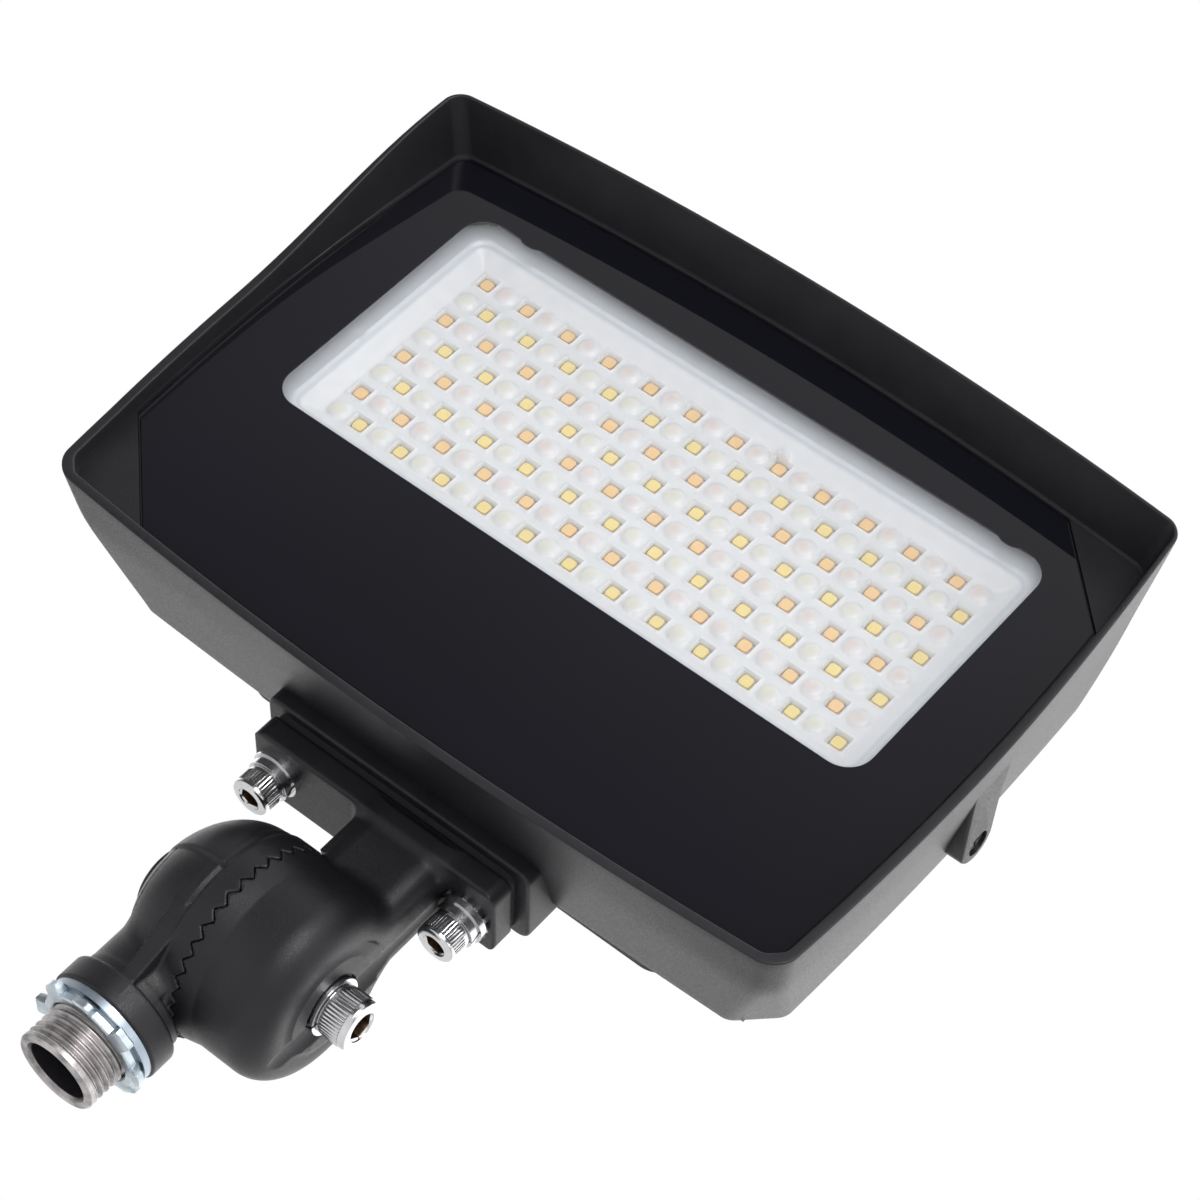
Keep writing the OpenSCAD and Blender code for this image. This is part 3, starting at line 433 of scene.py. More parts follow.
knuckle = {
    "toothR": 25.4, "teeth": 36, "toothHalf": 0.95, "land": 5.6, "band": 4.6, "seam": 0.12, "cell": 0.42,
    "groove": 0.9, "capStart": 8.4, "capDepth": 18.3, "capR": 24.4, "baseEnd": 25.2, "bossR": 8.8, "bossEnd": 26.4,
    "neckR": 13.0, "neckTop": 20.0, "ringTop": 9.6, "collarR": 14.8, "collarTop": 6.8, "boreR": 8.3, "boreTop": 23.2,
    "ribX": 2.2, "ribHalf": 1.7, "ribReach": 14.2, "ribMiddle": 14.5, "ribTall": 11.5, "cavityR": 16.8,
    "armEnd": 23.3, "armRound": 8.0, "armDrumR": 23.9, "discR": 12.6, "discFoot": 15.2, "shankR": 4.1, "seatR": 8.0,
    "armLeft": -2.3, "armRight": 22.8, "armFront": -9.0, "armBack": 9.5, "armBevel": (4.5, 2.5), "armCorner": 6.0,
    "flangeLow": 38.6, "flangeThick": 6.4, "flangeHalf": 36, "flangeFront": -9.0, "flangeBack": 13.0,
    "flangeCorner": 3.5, "holeR": 3.3, "counterboreR": 7.0,
}


# the screws' head radius, head height, shank radius, length and knurls; where the pivot screw's head bears;
# the flange screws' span and offsets, the flange's lower face and the washers under the two heads
screws = {
    "pivot": (6.5, 7.9, 4.0, 48.0, 46), "flange": (5.2, 6.4, 3.0, 19.0, 40), "pivotSeat": 25.0,
    "span": 56.4, "skew": 1.5, "middleY": 2.0, "flangeFace": 74.6, "grips": (4.1, 5.0),
}


def toothWave(y, z):
    # height of the zigzag seam by the angle about the pivot, from -1 to 1
    turn = np.arctan2(z, y) / (2 * math.pi) * knuckle["teeth"]
    return 4 * np.abs(turn - np.floor(turn + 0.5)) - 1


def toothedFace(radial, y, zz, side):
    k = knuckle
    return np.where(radial > k["toothR"] - k["land"], toothWave(y, zz) * k["toothHalf"] + side * k["seam"],
                    side * k["toothHalf"])


def lowerHalf(x, y, z):
    k = knuckle
    t, zz = x - pivotX, z - pivotZ
    radial = np.sqrt(y ** 2 + zz ** 2)
    behind = np.clip(-t - k["capStart"], 0, k["capDepth"] - 0.05)
    start = np.clip((-t - k["toothHalf"] - k["band"]) / 3, 0, 1)
    cap = (k["toothR"] - 0.3 + (k["capR"] - k["toothR"] + 0.3) * start) * np.sqrt(1 - (behind / k["capDepth"]) ** 2)
    lower = np.clip((1.2 - zz) / 0.9, 0, 1)
    behindBand = np.clip((-t - k["toothHalf"] - k["band"]) / 0.5, 0, 1)
    groove = np.exp(-((-t - k["toothHalf"] - k["band"] - 1.0) / 0.8) ** 2)
    radius = cap - behindBand * (k["groove"] + 0.9 * groove) * lower - 0.35 * groove * (1 - lower)
    drum = (radial - radius) * 0.9
    drum = np.maximum(drum, (t - toothedFace(radial, y, zz, -1)) * 0.78)
    drum = np.maximum(drum, -t - k["baseEnd"])
    boss = roundDisc(radial, t, k["bossR"], -k["bossEnd"], -10, 0.6)
    around = np.sqrt(x ** 2 + y ** 2)
    neck = np.maximum(np.maximum(around - k["neckR"], z - k["neckTop"]), t + k["toothHalf"])
    body = smoothUnion(smoothUnion(drum, boss, 0.5), neck, 2.2)
    # the rib widens towards the drum
    ribRise = np.clip((z - k["collarTop"]) / 18, 0, 1)
    rib = np.maximum(np.abs(x - k["ribX"]) - k["ribHalf"] - 1.2 * ribRise, np.abs(y) - k["ribReach"] - 6.6 * ribRise)
    rib = np.maximum(rib * 0.9, np.abs(z - k["ribMiddle"]) - k["ribTall"])
    body = smoothUnion(body, rib, 0.6)
    ring = roundDisc(around, z, k["neckR"], 3, k["ringTop"], 0.5)
    body = smoothUnion(body, ring, 0.4)
    collar = roundDisc(around, z, k["collarR"], 0, k["collarTop"], 0.7)
    body = smoothUnion(body, collar, 0.4)
    bore = np.maximum(around - k["boreR"], z - k["boreTop"])
    cavity = np.maximum(np.maximum(k["bossR"] - radial, radial - k["cavityR"]), -t - k["baseEnd"] + 4.5)
    return np.maximum(body, -np.minimum(bore, cavity))


def upperHalf(x, y, z):
    k = knuckle
    t, zz = x - pivotX, z - pivotZ
    radial = np.sqrt(y ** 2 + zz ** 2)
    bend = np.clip(t - (k["armEnd"] - k["armRound"]), 0, k["armRound"])
    radius = k["armDrumR"] - k["armRound"] + np.sqrt(np.maximum(k["armRound"] ** 2 - bend ** 2, 0))
    radius = radius + 1.1 * np.clip(1 - t / 5, 0, 1)
    drum = np.maximum((radial - radius) * 0.85, t - k["armEnd"])
    # the arm is bevelled at its front left edge and round at the front right one
    wide, deep = k["armBevel"]
    bevel = -(deep * (t - k["armLeft"] - wide) + wide * (y - k["armFront"])) / math.hypot(wide, deep)
    arm = smoothCut(smoothCut(k["armLeft"] - t, bevel, 0.7), k["armFront"] - y, 0.9)
    arm = smoothCut(smoothCut(arm, t - k["armRight"], k["armCorner"]), y - k["armBack"], 3.0)
    arm = np.maximum(arm, np.abs(zz - 18) - 24)
    body = smoothUnion(drum, arm, 0.6 + 2.4 * np.clip((t - 1) / 8, 0, 1))
    flange = roundBox(x - headX, y, zz, (-k["flangeHalf"], k["flangeFront"], k["flangeLow"]),
                      (k["flangeHalf"], k["flangeBack"], k["flangeLow"] + k["flangeThick"]), 0.9)
    middle, half = (k["flangeBack"] + k["flangeFront"]) / 2, (k["flangeBack"] - k["flangeFront"]) / 2
    corner = np.hypot(np.maximum(np.abs(x - headX) - k["flangeHalf"] + k["flangeCorner"], 0),
                      np.maximum(np.abs(y - middle) - half + k["flangeCorner"], 0)) - k["flangeCorner"]
    flange = np.maximum(flange, corner)
    body = smoothUnion(body, flange, 3.0)
    # raised disc with a sloping flank round the pivot screw
    slopeR = k["discR"] + (k["discFoot"] - k["discR"]) * np.clip((k["armEnd"] + 0.5 - t) / 1.6, 0, 1)
    disc = np.maximum((radial - slopeR) * 0.7, np.abs(t - 18) - (k["armEnd"] + 0.5 - 18))
    body = smoothUnion(body, disc, 0.9)
    # room for the lower half's band, then the zigzag face
    face = toothedFace(radial, y, zz, 1)
    body = np.maximum(body, -np.maximum(radial - (k["toothR"] + 0.6), (t - face) * 0.78))
    cavity = np.maximum(np.maximum(k["bossR"] + 0.3 - radial, radial - k["cavityR"]), t - (k["armEnd"] - 4.5))
    body = np.maximum(body, -cavity)
    shank = radial - k["shankR"]
    counterbore = np.maximum(radial - k["seatR"], k["armEnd"] - 0.6 - t)
    body = np.maximum(body, -np.minimum(shank, counterbore))
    for side in (-1, 1):
        boltX, boltY = boltPlace(side)
        reach = np.hypot(x - boltX, y - boltY)
        seat = np.maximum(reach - k["counterboreR"], zz - k["flangeLow"])
        body = np.maximum(body, -np.minimum(reach - k["holeR"], seat))
    return body


def boltPlace(side):
    return headX + side * screws["span"] / 2, screws["middleY"] + side * screws["skew"]


def buildKnuckle():
    points, faces = castMesh(lowerHalf, (-18.5, -27, -0.9), (15.6, 27, 63), knuckle["cell"])
    makePiece("lowerKnuckle", points, faces, "powder_coat", "base", ("knuckle_base",), 60)
    points, faces = castMesh(upperHalf, (-27, -27.5, 8), (49, 27.5, 82.5), knuckle["cell"])
    makePiece("upperKnuckle", points, faces, "powder_coat", "head", ("knuckle_arm",), 60)


buildKnuckle()
print("knuckle halves cast")


# Threaded pipe

def makeRing(name, profile, count, *rest):
    # the profile runs round the ring's own section
    makePiece(name, turned(profile, count)[0], loopFaces(len(profile), count), *rest)


pipe = {
    "r": 10.55, "bore": 8.3, "length": 14.7, "pitch": 1.814, "depth": 0.85, "runout": 1.6, "chamfer": 0.5,
    "endRing": 1.5, "sleeveTop": 22.8,
}


def buildThread():
    count = 120
    angles = np.arange(count) / count
    profile = []
    rows = 150
    for i in range(rows + 1):
        z = -pipe["length"] + (pipe["length"] + 0.4) * i / rows
        phase = (z / pipe["pitch"] - angles) % 1.0
        crest = np.clip(np.abs(phase - 0.5) * 2, 0.12, 0.86)
        crest = (crest - 0.12) / 0.74
        fade = np.clip((-z - 0.3) / pipe["runout"], 0, 1) * np.clip((z + pipe["length"] - pipe["endRing"]) / 0.5, 0, 1)
        taper = max(0.0, pipe["chamfer"] - (z + pipe["length"])) * 0.8
        radius = np.minimum(pipe["r"] - pipe["depth"] * (1 - crest) * fade, pipe["r"] - taper)
        profile.append((radius, z))
    profile += [(pipe["bore"], 0.4), (pipe["bore"], -pipe["length"] + 0.4), (pipe["bore"] + 0.3, -pipe["length"])]
    makeRing("pipeThread", profile, count, "bare_casting", "base", (), 50)


def buildSleeve():
    # dark bore seen through the pipe's end
    bore = pipe["bore"]
    low, high = -pipe["length"] + 1.0, pipe["sleeveTop"]
    profile = [(bore - 0.02, low), (bore - 0.02, high), (bore - 0.4, high), (bore - 0.4, low)]
    makeRing("boreCoating", profile, 64, "powder_coat", "base", (), 50)


buildThread()
buildSleeve()


# Locknut, with its tabs bent up and down in turn

nut = {
    "low": -5.3, "height": 3.4, "inner": 10.72, "bodyR": 13.1, "lobeR": 15.35, "lobes": 8, "notch": 1.1,
    "lobeHalf": 0.23, "ripple": 0.12,
}


def buildLocknut():
    count = 320
    turn = np.arange(count) / count * nut["lobes"]
    offset = np.abs(turn - np.floor(turn + 0.5))
    lobe = np.clip((nut["lobeHalf"] - offset) / 0.05 + 0.5, 0, 1)
    lobe = lobe * lobe * (3 - 2 * lobe)
    high = (np.floor(turn + 0.5) % 2) * 2 - 1
    ripple = nut["ripple"] * np.sin(turn * 23.1) * lobe
    outer = nut["bodyR"] + (nut["lobeR"] - nut["bodyR"]) * lobe + ripple
    shift = nut["notch"] * 0.5 * high * lobe
    low = nut["low"] + nut["notch"] * 0.5
    top = nut["low"] + nut["height"] - nut["notch"] * 0.5
    upper = nut["low"] + nut["height"] - 0.02
    mid = nut["bodyR"] - 0.3
    profile = [(nut["inner"], low + 0.5), (nut["inner"] + 0.5, low + 0 * outer), (mid, low + 0 * outer),
               (np.maximum(outer - 0.5, mid + 0.05), low + shift), (outer, low + shift + 0.4),
               (outer, top + shift - 0.4), (np.maximum(outer - 0.5, mid + 0.05), top + shift),
               (mid, upper + 0 * outer), (nut["inner"] + 0.4, upper + 0 * outer), (nut["inner"], upper - 0.4)]
    makeRing("lockNut", profile, count, "zinc_rough", "nut", ("locknut",), 30)


buildLocknut()
print("pipe and locknut made")


# Socket head screws

def socketScrew(name, size, place, along, body, stands, turn):
    # bearing face at the place, head outward along the axis
    headR, headH, shankR, length, knurls = size
    count = knurls * 6
    angles = np.arange(count) * 2 * math.pi / count
    hexAngle = (angles + math.radians(turn)) % (math.pi / 3) - math.pi / 6
    socket = headR * 0.46 / np.cos(hexAngle)
    wave = np.clip(np.abs((angles * knurls / (2 * math.pi)) % 1.0 - 0.5) * 4 - 0.6, 0, 1)
    ridge = headR - 0.22 * (1 - wave)
    deep = headH * 0.42
    edge = 0.16 * headR
    band, neck = 0.21 * headH, 0.22 * headH
    mouth = headR * 0.57
    profile = [(socket * 0.05, headH - deep - 0.6), (socket * 0.9, headH - deep), (socket, headH - deep + 0.05),
               (socket, headH - 0.75), (np.minimum(socket * 1.02, mouth), headH - 0.55), (mouth, headH - 0.3),
               (mouth + 0.15, headH), (headR - edge, headH), (headR - edge * 0.62, headH - edge * 0.08),
               (headR - edge * 0.29, headH - edge * 0.29), (headR - edge * 0.08, headH - edge * 0.62),
               (headR - 0.02, headH - edge), (headR - 0.02, headH - band), (ridge, headH - band - 0.25),
               (ridge, neck + 0.25), (headR - 0.12, neck), (headR - 0.15, 0.2), (headR - 0.4, 0.0), (shankR, 0.0),
               (shankR, -length + 0.6), (shankR * 0.8, -length)]
    points, faces = turned(profile, count, place, along)
    # the socket's walls and floor take the dark brown metal
    slots = [1 if f[0] < 4 * count and len(f) == 4 else 0 for f in faces]
    slots[-2] = 1
    faces = [f[::-1] for f in faces]
    return makePiece(name, points, faces, ["stainless", "socket_brown"], body, stands, 28, slots)


def buildScrews():
    seat = (pivotX + screws["pivotSeat"], pivotY, pivotZ)
    socketScrew("pivotScrew", screws["pivot"], seat, "X", "base", ("pivot_bolt",), 12)
    for side, label, grip in zip((-1, 1), ("Left", "Right"), screws["grips"]):
        place = (*boltPlace(side), screws["flangeFace"] - grip)
        stands = ("flange_bolts",) if side < 0 else ()
        socketScrew("flangeScrew" + label, screws["flange"], place, "-Z", "head", stands, 20 * side)


buildScrews()
print("socket screws made")


# Housing

shell = {
    "wall": 2.5, "ledgeY": 4.9, "ledge": 6.5, "floorY": 11.8, "floor": 4.0, "depth": 39.0, "lean": 0.06,
    "crownR": 1040.0, "edge": 0.4, "finPitch": 9.0, "fin": 2.0, "finReach": 96.0, "webY": -0.4, "thinRim": 0.6,
    "shelfY": -0.9, "shelf": 0.8, "boxHalf": 66.0, "boxTop": 26.0, "boxLow": -74.0, "boxBack": 57.0, "boxWall": 2.6,
    "boxCorner": 8.0, "padW": 78.0, "padD": 25.0, "padY": 37.5, "padLow": -91.2,
}
# the two ends of each corner web's inner edge
webEdges = {"low": np.array([[-107.3, -60.2], [-80.7, -86.8]]), "top": np.array([[77.4, 55.0], [104, 28.4]])}
stationY = np.array([-18.0, 12.0, 46.0])
stationSizes = np.array([[111.0, -98.2, 60.5, 6.3, 4.5, 6.3, 5.4, -15, 850],
                         [106.1, -90.9, 57.5, 5.5, 7.0, 6.2, 2.3, -15, 850],
                         [99.5, -82.3, 47.0, 4.5, 14.0, 11.4, 1.8, 10, 1400]])


def sizesAt(y):
    # half width, bottom, top, lower rounding, upper radius, lower leg, the sole's bow, the height of the
    # sides' widest place and their radius at a depth
    spreadY = y + np.linspace(-4, 4, 9)
    return np.array([np.interp(spreadY, stationY, stationSizes[:, i]).mean() for i in range(9)])


def outlineAt(y, inset):
    half, low, top, rl, rt, leg, bow, wideZ, sideR = sizesAt(y)
    half, low, top = half - inset, low + inset, top - inset
    rl, rt = max(1.0, rl - inset), max(1.0, rt - inset)
    leg = max(rl + 0.3, leg - 0.586 * inset)
    # centre, radius, start and sweep of each arc, and the points on the straight run after it
    arcs = [(half - rt, top - rt, rt, 0, 90, 40), (rt - half, top - rt, rt, 90, 90, 26),
            (rl - half, low + leg, rl, 180, 45, 3), (leg - half, low + rl, rl, 225, 45, 40),
            (half - leg, low + rl, rl, 270, 45, 3), (half - rl, low + leg, rl, 315, 45, 26)]
    points = []
    for n, (cx, cz, r, start, sweep, run) in enumerate(arcs):
        turn = np.radians(start + np.linspace(0, sweep, 1 + sweep // 7))
        points.append(np.column_stack([cx + r * np.cos(turn), cz + r * np.sin(turn)]))
        after = arcs[(n + 1) % 6]
        a = points[-1][-1]
        turn = math.radians(after[3])
        b = np.array([after[0] + after[2] * math.cos(turn), after[1] + after[2] * math.sin(turn)])
        points.append(a + (b - a) * np.linspace(0, 1, run + 2)[1:-1, None])
    p = np.concatenate(points)
    x = p[:, 0] * (1 - (p[:, 1] - wideZ) ** 2 / (2 * sideR * half))
    z = (p[:, 1] - p[:, 0] ** 2 / (2 * shell["crownR"]) * (p[:, 1] - low) / (top - low)
         + (p[:, 0] / 100) ** 2 * bow * (top - p[:, 1]) / (top - low))
    return np.column_stack([x, z])


def hoodShare(z):
    # nothing at the lower rim, one at the hood's top
    return (1 - np.cos(math.pi * np.clip((z + 25) / 85, 0, 1))) / 2


def rimY(z):
    return -4.6 - 0.025 * np.maximum(0, z + 70) - 8.95 * hoodShare(z)


def backY(z):
    return shell["depth"] - shell["lean"] * z


outlineTable = {}


def skinPoints(ys, inset):
    # one point for each place round the outline, at its own depth and, if need be, with its own inset
    if isinstance(inset, np.ndarray):
        share = (inset / shell["wall"])[:, None]
        return skinPoints(ys, 0.0) * (1 - share) + skinPoints(ys, shell["wall"]) * share
    key = round(inset, 3)
    if key not in outlineTable:
        levels = np.linspace(-20, 48, 35)
        outlineTable[key] = (levels, np.array([outlineAt(y, inset) for y in levels]))
    levels, table = outlineTable[key]
    n = table.shape[1]
    out = np.empty((n, 3))
    for i in range(n):
        out[i] = (np.interp(ys[i], levels, table[:, i, 0]), ys[i], np.interp(ys[i], levels, table[:, i, 1]))
    return out


def shellRows():
    wall, edge = shell["wall"], shell["edge"]
    base = outlineAt(-8, 0)
    rim = rimY(base[:, 1])
    rim = rimY(skinPoints(rim, 0)[:, 2])
    back = backY(outlineAt(40, 0)[:, 1])
    full = np.ones(len(rim))
    floorBack = shell["floorY"] + shell["floor"]
    rows = []
    for s in np.linspace(0, 1, 5)[:-1]:
        rows.append(skinPoints(floorBack + (back - floorBack) * s, wall))
    rows.append(skinPoints(back - 0.3, wall))
    rows.append(skinPoints(back, wall - 0.3))
    for a in np.radians(np.linspace(0, 90, 5)):
        rows.append(skinPoints(back - edge * (1 - math.cos(a)), edge * (1 - math.sin(a))))
    for s in np.linspace(0, 1, 16)[1:-1]:
        rows.append(skinPoints(back - edge + (rim + edge - back + edge) * s, 0))
    for a in np.radians(np.linspace(0, 90, 6)):
        rows.append(skinPoints(rim + edge * (1 - math.sin(a)), edge * (1 - math.cos(a))))
    # the rim is thinner at the hood, where the wall inside slopes
    rimWall = wall * (1 - shell["thinRim"] * hoodShare(base[:, 1]))
    for a in np.radians(np.linspace(90, 0, 6)):
        rows.append(skinPoints(rim + edge * (1 - math.sin(a)), rimWall - edge * (1 - math.cos(a))))
    for s in np.linspace(0, 1, 7)[1:]:
        rows.append(skinPoints(rim + edge + (shell["shelfY"] - rim - edge) * s, rimWall + (wall - rimWall) * s))
    # a small shelf beside the glass, which fades out towards the lower rim
    shelf = 0.05 + shell["shelf"] * hoodShare(base[:, 1])
    for y, inset in ((shell["shelfY"] + 0.12, 0.85 * shelf), (shell["shelfY"] + 0.3, shelf), (shell["ledgeY"], shelf),
                     (shell["ledgeY"], shell["ledge"]), (shell["floorY"], shell["ledge"])):
        rows.append(skinPoints(full * y, wall + inset))
    return rows


def prism(outline, low, high, axes="XZY"):
    # straight plate between two levels of the third axis
    rows = [np.column_stack([outline, np.full(len(outline), level)]) for level in (low, high)]
    return laidOut(np.concatenate(rows), ringFaces(2, len(outline)), axes)


def clockedUp(outline):
    # the outline turned to run anticlockwise
    x, y = outline[:, 0], outline[:, 1]
    area = (x * np.roll(y, -1) - np.roll(x, -1) * y).sum()
    return outline if area > 0 else outline[::-1]


def wallHeights(x, y, inset):
    # lowest and highest place of the shell's inner wall at x
    p = outlineAt(y, inset)
    upper, lower = p[p[:, 1] > 0], p[p[:, 1] < 0]
    upper, lower = upper[np.argsort(upper[:, 0])], lower[np.argsort(lower[:, 0])]
    return np.interp(x, lower[:, 0], lower[:, 1]), np.interp(x, upper[:, 0], upper[:, 1])


def headTool(name, points, faces):
    # a closed mesh given in the lamp head's own frame, its faces turned outward
    tool = looseMesh(name, points + headPlace, faces)
    bm = bmesh.new()
    bm.from_mesh(tool.data)
    bmesh.ops.recalc_face_normals(bm, faces=bm.faces)
    if bm.calc_volume(signed=True) < 0:
        bmesh.ops.reverse_faces(bm, faces=bm.faces)
    bm.to_mesh(tool.data)
    bm.free()
    return tool


def addFins(housing):
    floorBack = shell["floorY"] + 1.0
    reach = int(shell["finReach"] / shell["finPitch"])
    for i in range(-reach, reach + 1):
        x = i * shell["finPitch"]
        lowNear, highNear = wallHeights(x, floorBack, 1.2)
        lowFar, highFar = wallHeights(x, 40, 1.2)
        tall = np.array([[floorBack, lowNear], [backY(lowFar) - 0.4, lowFar], [backY(highFar) - 0.4, highFar],
                         [floorBack, highNear]])
        fin = prism(clockedUp(tall), x - shell["fin"] / 2, x + shell["fin"] / 2, "YZX")
        joinSolid(housing, headTool("fin", *fin), "UNION")


def webOutline(corner):
    # the inner edge and three places beyond the shell, where the web is trimmed
    outer = {"low": [[-118, -49.5], [-118, -104], [-63.5, -104]], "top": [[115, 17.4], [115, 68], [64.4, 68]]}
    inner = webEdges[corner]
    return np.concatenate([outer[corner], inner[::-1] if corner == "low" else inner])


def addWebs(housing):
    for corner in ("low", "top"):
        tool = headTool("web", *prism(clockedUp(webOutline(corner)), shell["webY"], shell["floorY"] + 1))
        # only what lies inside the shell's outer skin stays
        level = np.zeros(len(outlineAt(0, 0)))
        rows = [skinPoints(level + y, 1.0) for y in (-4, 13.5)]
        joinSolid(tool, headTool("skin", np.concatenate(rows), ringFaces(2, len(level))), "INTERSECT")
        joinSolid(housing, tool, "UNION")


lug = {
    "in": 93.0, "out": 106.5, "screwY": 31.8, "screwZ": -14.6, "hole": 3.4, "recess": 2.4, "earR": 6.0, "earZ": -15,
    "upper": [(7.0, -5.3), (18.3, -8.1), (26.0, -8.7)], "lower": [(26.0, -20.6), (7.0, -19.4)],
}


def lugOutline():
    # a tapering pad that ends in a round ear
    turn = np.radians(np.linspace(80, -80, 13))
    ear = [(lug["screwY"] - 0.8 + lug["earR"] * math.cos(a), lug["earZ"] + lug["earR"] * math.sin(a)) for a in turn]
    return clockedUp(np.array(lug["upper"] + ear + lug["lower"]))


def addLugs(housing):
    for side in (-1, 1):
        inner, outer = sorted((side * lug["in"], side * lug["out"]))
        joinSolid(housing, headTool("lug", *softPlate(lugOutline(), inner, outer, 0.8, "YZX")), "UNION")
        points, faces = turned([(lug["hole"], -lug["recess"]), (lug["hole"], 4.0)], 48)
        points = points[:, [2, 0, 1]] * [side, 1, 1] + [side * lug["out"], lug["screwY"], lug["screwZ"]]
        joinSolid(housing, headTool("hole", points, faces), "DIFFERENCE")


def addBox(housing):
    s = shell
    mid = (s["boxTop"] + s["boxLow"]) / 2
    outline = roundedOutline(2 * s["boxHalf"], s["boxTop"] - s["boxLow"], s["boxCorner"]) + [0, mid]
    joinSolid(housing, headTool("block", *prism(outline, s["floorY"] + 1, s["boxBack"])), "UNION")
    outline = roundedOutline(s["padW"], s["padD"], 3) + [0, s["padY"]]
    joinSolid(housing, headTool("pad", *softPlate(outline, s["padLow"], -70, 0.9, "XYZ")), "UNION")
    inner = roundedOutline(2 * (s["boxHalf"] - s["boxWall"]), s["boxTop"] - s["boxLow"] - 2 * s["boxWall"], 6.7)
    room = prism(inner + [0, mid], s["floorY"] + s["floor"], s["boxBack"] + 2)
    joinSolid(housing, headTool("room", *room), "DIFFERENCE")


def buildHousing():
    rows = shellRows()
    housing = headTool("housingShell", np.concatenate(rows), ringFaces(len(rows), len(rows[0])))
    addFins(housing)
    addWebs(housing)
    addLugs(housing)
    addBox(housing)
    dress(housing, "powder_coat", "head", ("housing",), 32)


buildHousing()
print("housing made")


# Front glass and its black print

glass = {
    "inset": 3.9, "thick": 4.0, "windowW": 171.4, "windowH": 76.0, "windowR": 7.0, "print": 0.3, "webGap": 0.7,
    "dipsX": (-69.9, 73.2),
}


def cutCorner(outline, a, b):
    # keeps the part of the outline on the inner side of the line from a to b
    a, b = np.array(a, float), np.array(b, float)
    normal = np.array([-(b - a)[1], (b - a)[0]])
    if normal @ (np.zeros(2) - a) < 0:
        normal = -normal
    out = []
    n = len(outline)
    for i in range(n):
        p, q = outline[i], outline[(i + 1) % n]
        dp, dq = normal @ (p - a), normal @ (q - a)
        if dp >= 0:
            out.append(p)
        if (dp < 0) != (dq < 0):
            out.append(p + (q - p) * dp / (dp - dq))
    return np.array(out)


def glassOutline(inset):
    outline = outlineAt(0, inset)
    gap = glass["webGap"] + inset - glass["inset"]
    shift = np.array([gap, gap]) * 0.707
    outline = cutCorner(outline, *(webEdges["low"] + shift))
    return cutCorner(outline, *(webEdges["top"] - shift))


def windowOutline():
    # rounded window whose upper edge dips at two places
    outline = roundedOutline(glass["windowW"], glass["windowH"], glass["windowR"], 14)
    fine = []
    for p, q in zip(outline, np.roll(outline, -1, 0)):
        steps = max(1, int(np.linalg.norm(q - p) / 1.0))
        fine += [p + (q - p) * i / steps for i in range(steps)]
    fine = np.array(fine)
    for x in glass["dipsX"]:
        dip = np.exp(-((fine[:, 0] - x) / 2.6) ** 4) * (fine[:, 1] > 30)
        fine[:, 1] -= 1.0 * dip
    return fine


def platedRing(outer, inner, low, high):
    # flat plate with a hole, filled by triangles on both faces
    bm = bmesh.new()
    loops = []
    for outline in (outer, inner):
        verts = [bm.verts.new((x, low, z)) for x, z in outline]
        loops.append([bm.edges.new((verts[i], verts[(i + 1) % len(verts)])) for i in range(len(verts))])
    bmesh.ops.triangle_fill(bm, edges=loops[0] + loops[1], use_beauty=True)
    moved = bmesh.ops.extrude_face_region(bm, geom=bm.faces[:])
    for v in moved["geom"]:
        if isinstance(v, bmesh.types.BMVert):
            v.co.y = high
    bmesh.ops.recalc_face_normals(bm, faces=bm.faces)
    bm.verts.index_update()
    points = np.array([v.co for v in bm.verts])
    faces = [[v.index for v in f.verts] for f in bm.faces]
    bm.free()
    return points, faces


def buildGlass():
    # the clear pane lies just inside the print, which carries the glass's polished front
    base = glassOutline(glass["inset"] + 0.05)
    centre = base.mean(0)
    levels = [(centre + (base - centre) * 0.998, 0.06), (base, 0.3), (base, glass["thick"] - 0.1),
              (centre + (base - centre) * 0.999, glass["thick"])]
    points = np.concatenate([np.column_stack([o[:, 0], np.full(len(o), y), o[:, 1]]) for o, y in levels])
    pane = headTool("frontGlass", points, ringFaces(len(levels), len(base)))
    dress(pane, "front_glass", "head", ("front_glass",), 30)
    points, faces = platedRing(glassOutline(glass["inset"]), windowOutline(), 0, glass["print"])
    makePiece("blackPrint", points + headPlace, faces, "black_print", "head", (), 30)


buildGlass()
print("glass made")


# Lens tray and LEDs

optics = {
    "cols": 24, "rows": 8, "pitchX": 6.45, "pitchZ": 7.7, "rimY": 4.3, "floorY": 8.4, "lip": 3.0, "slope": 9.0,
    "margin": 3.2, "thick": 1.0, "backY": 10.1, "domeR": 2.75, "domeH": 1.15, "pocket": 1.95, "frame": 2.45,
    # the lip and line tints are painted shade, darkening the tray's lip and the line where its slope starts
    "ridge": 0.35, "chipY": 8.8, "lipShadeTint": (0.84, 0.85, 0.87), "grooveShadeTint": (0.74, 0.77, 0.82),
    "warmTint": (1.0, 0.82, 0.74), "coolTint": (1.0, 0.93, 0.74),
}
# small bumps on the tray's slope: x, z and size
mouldMarks = ((-69.9, 35.2, 3.2), (73.2, 35.4, 3.2), (-84.2, -8.3, 1.4), (14.9, 29.6, 1.6))
# half width, corner radius, front and back of the two pieces of an LED
ledShapes = {"package": (1.6, 0.2, 9.75, 10.15), "phosphor": (1.5, 0.75, optics["chipY"], 9.8)}


def roundRectDistance(x, z, halfW, halfH, r):
    return cornerDistance(np.abs(x) - (halfW - r), np.abs(z) - (halfH - r), r)


def ledCentres():
    for r in range(optics["rows"]):
        for c in range(optics["cols"]):
            x = (c - (optics["cols"] - 1) / 2) * optics["pitchX"]
            yield r, c, x, ((optics["rows"] - 1) / 2 - r) * optics["pitchZ"]


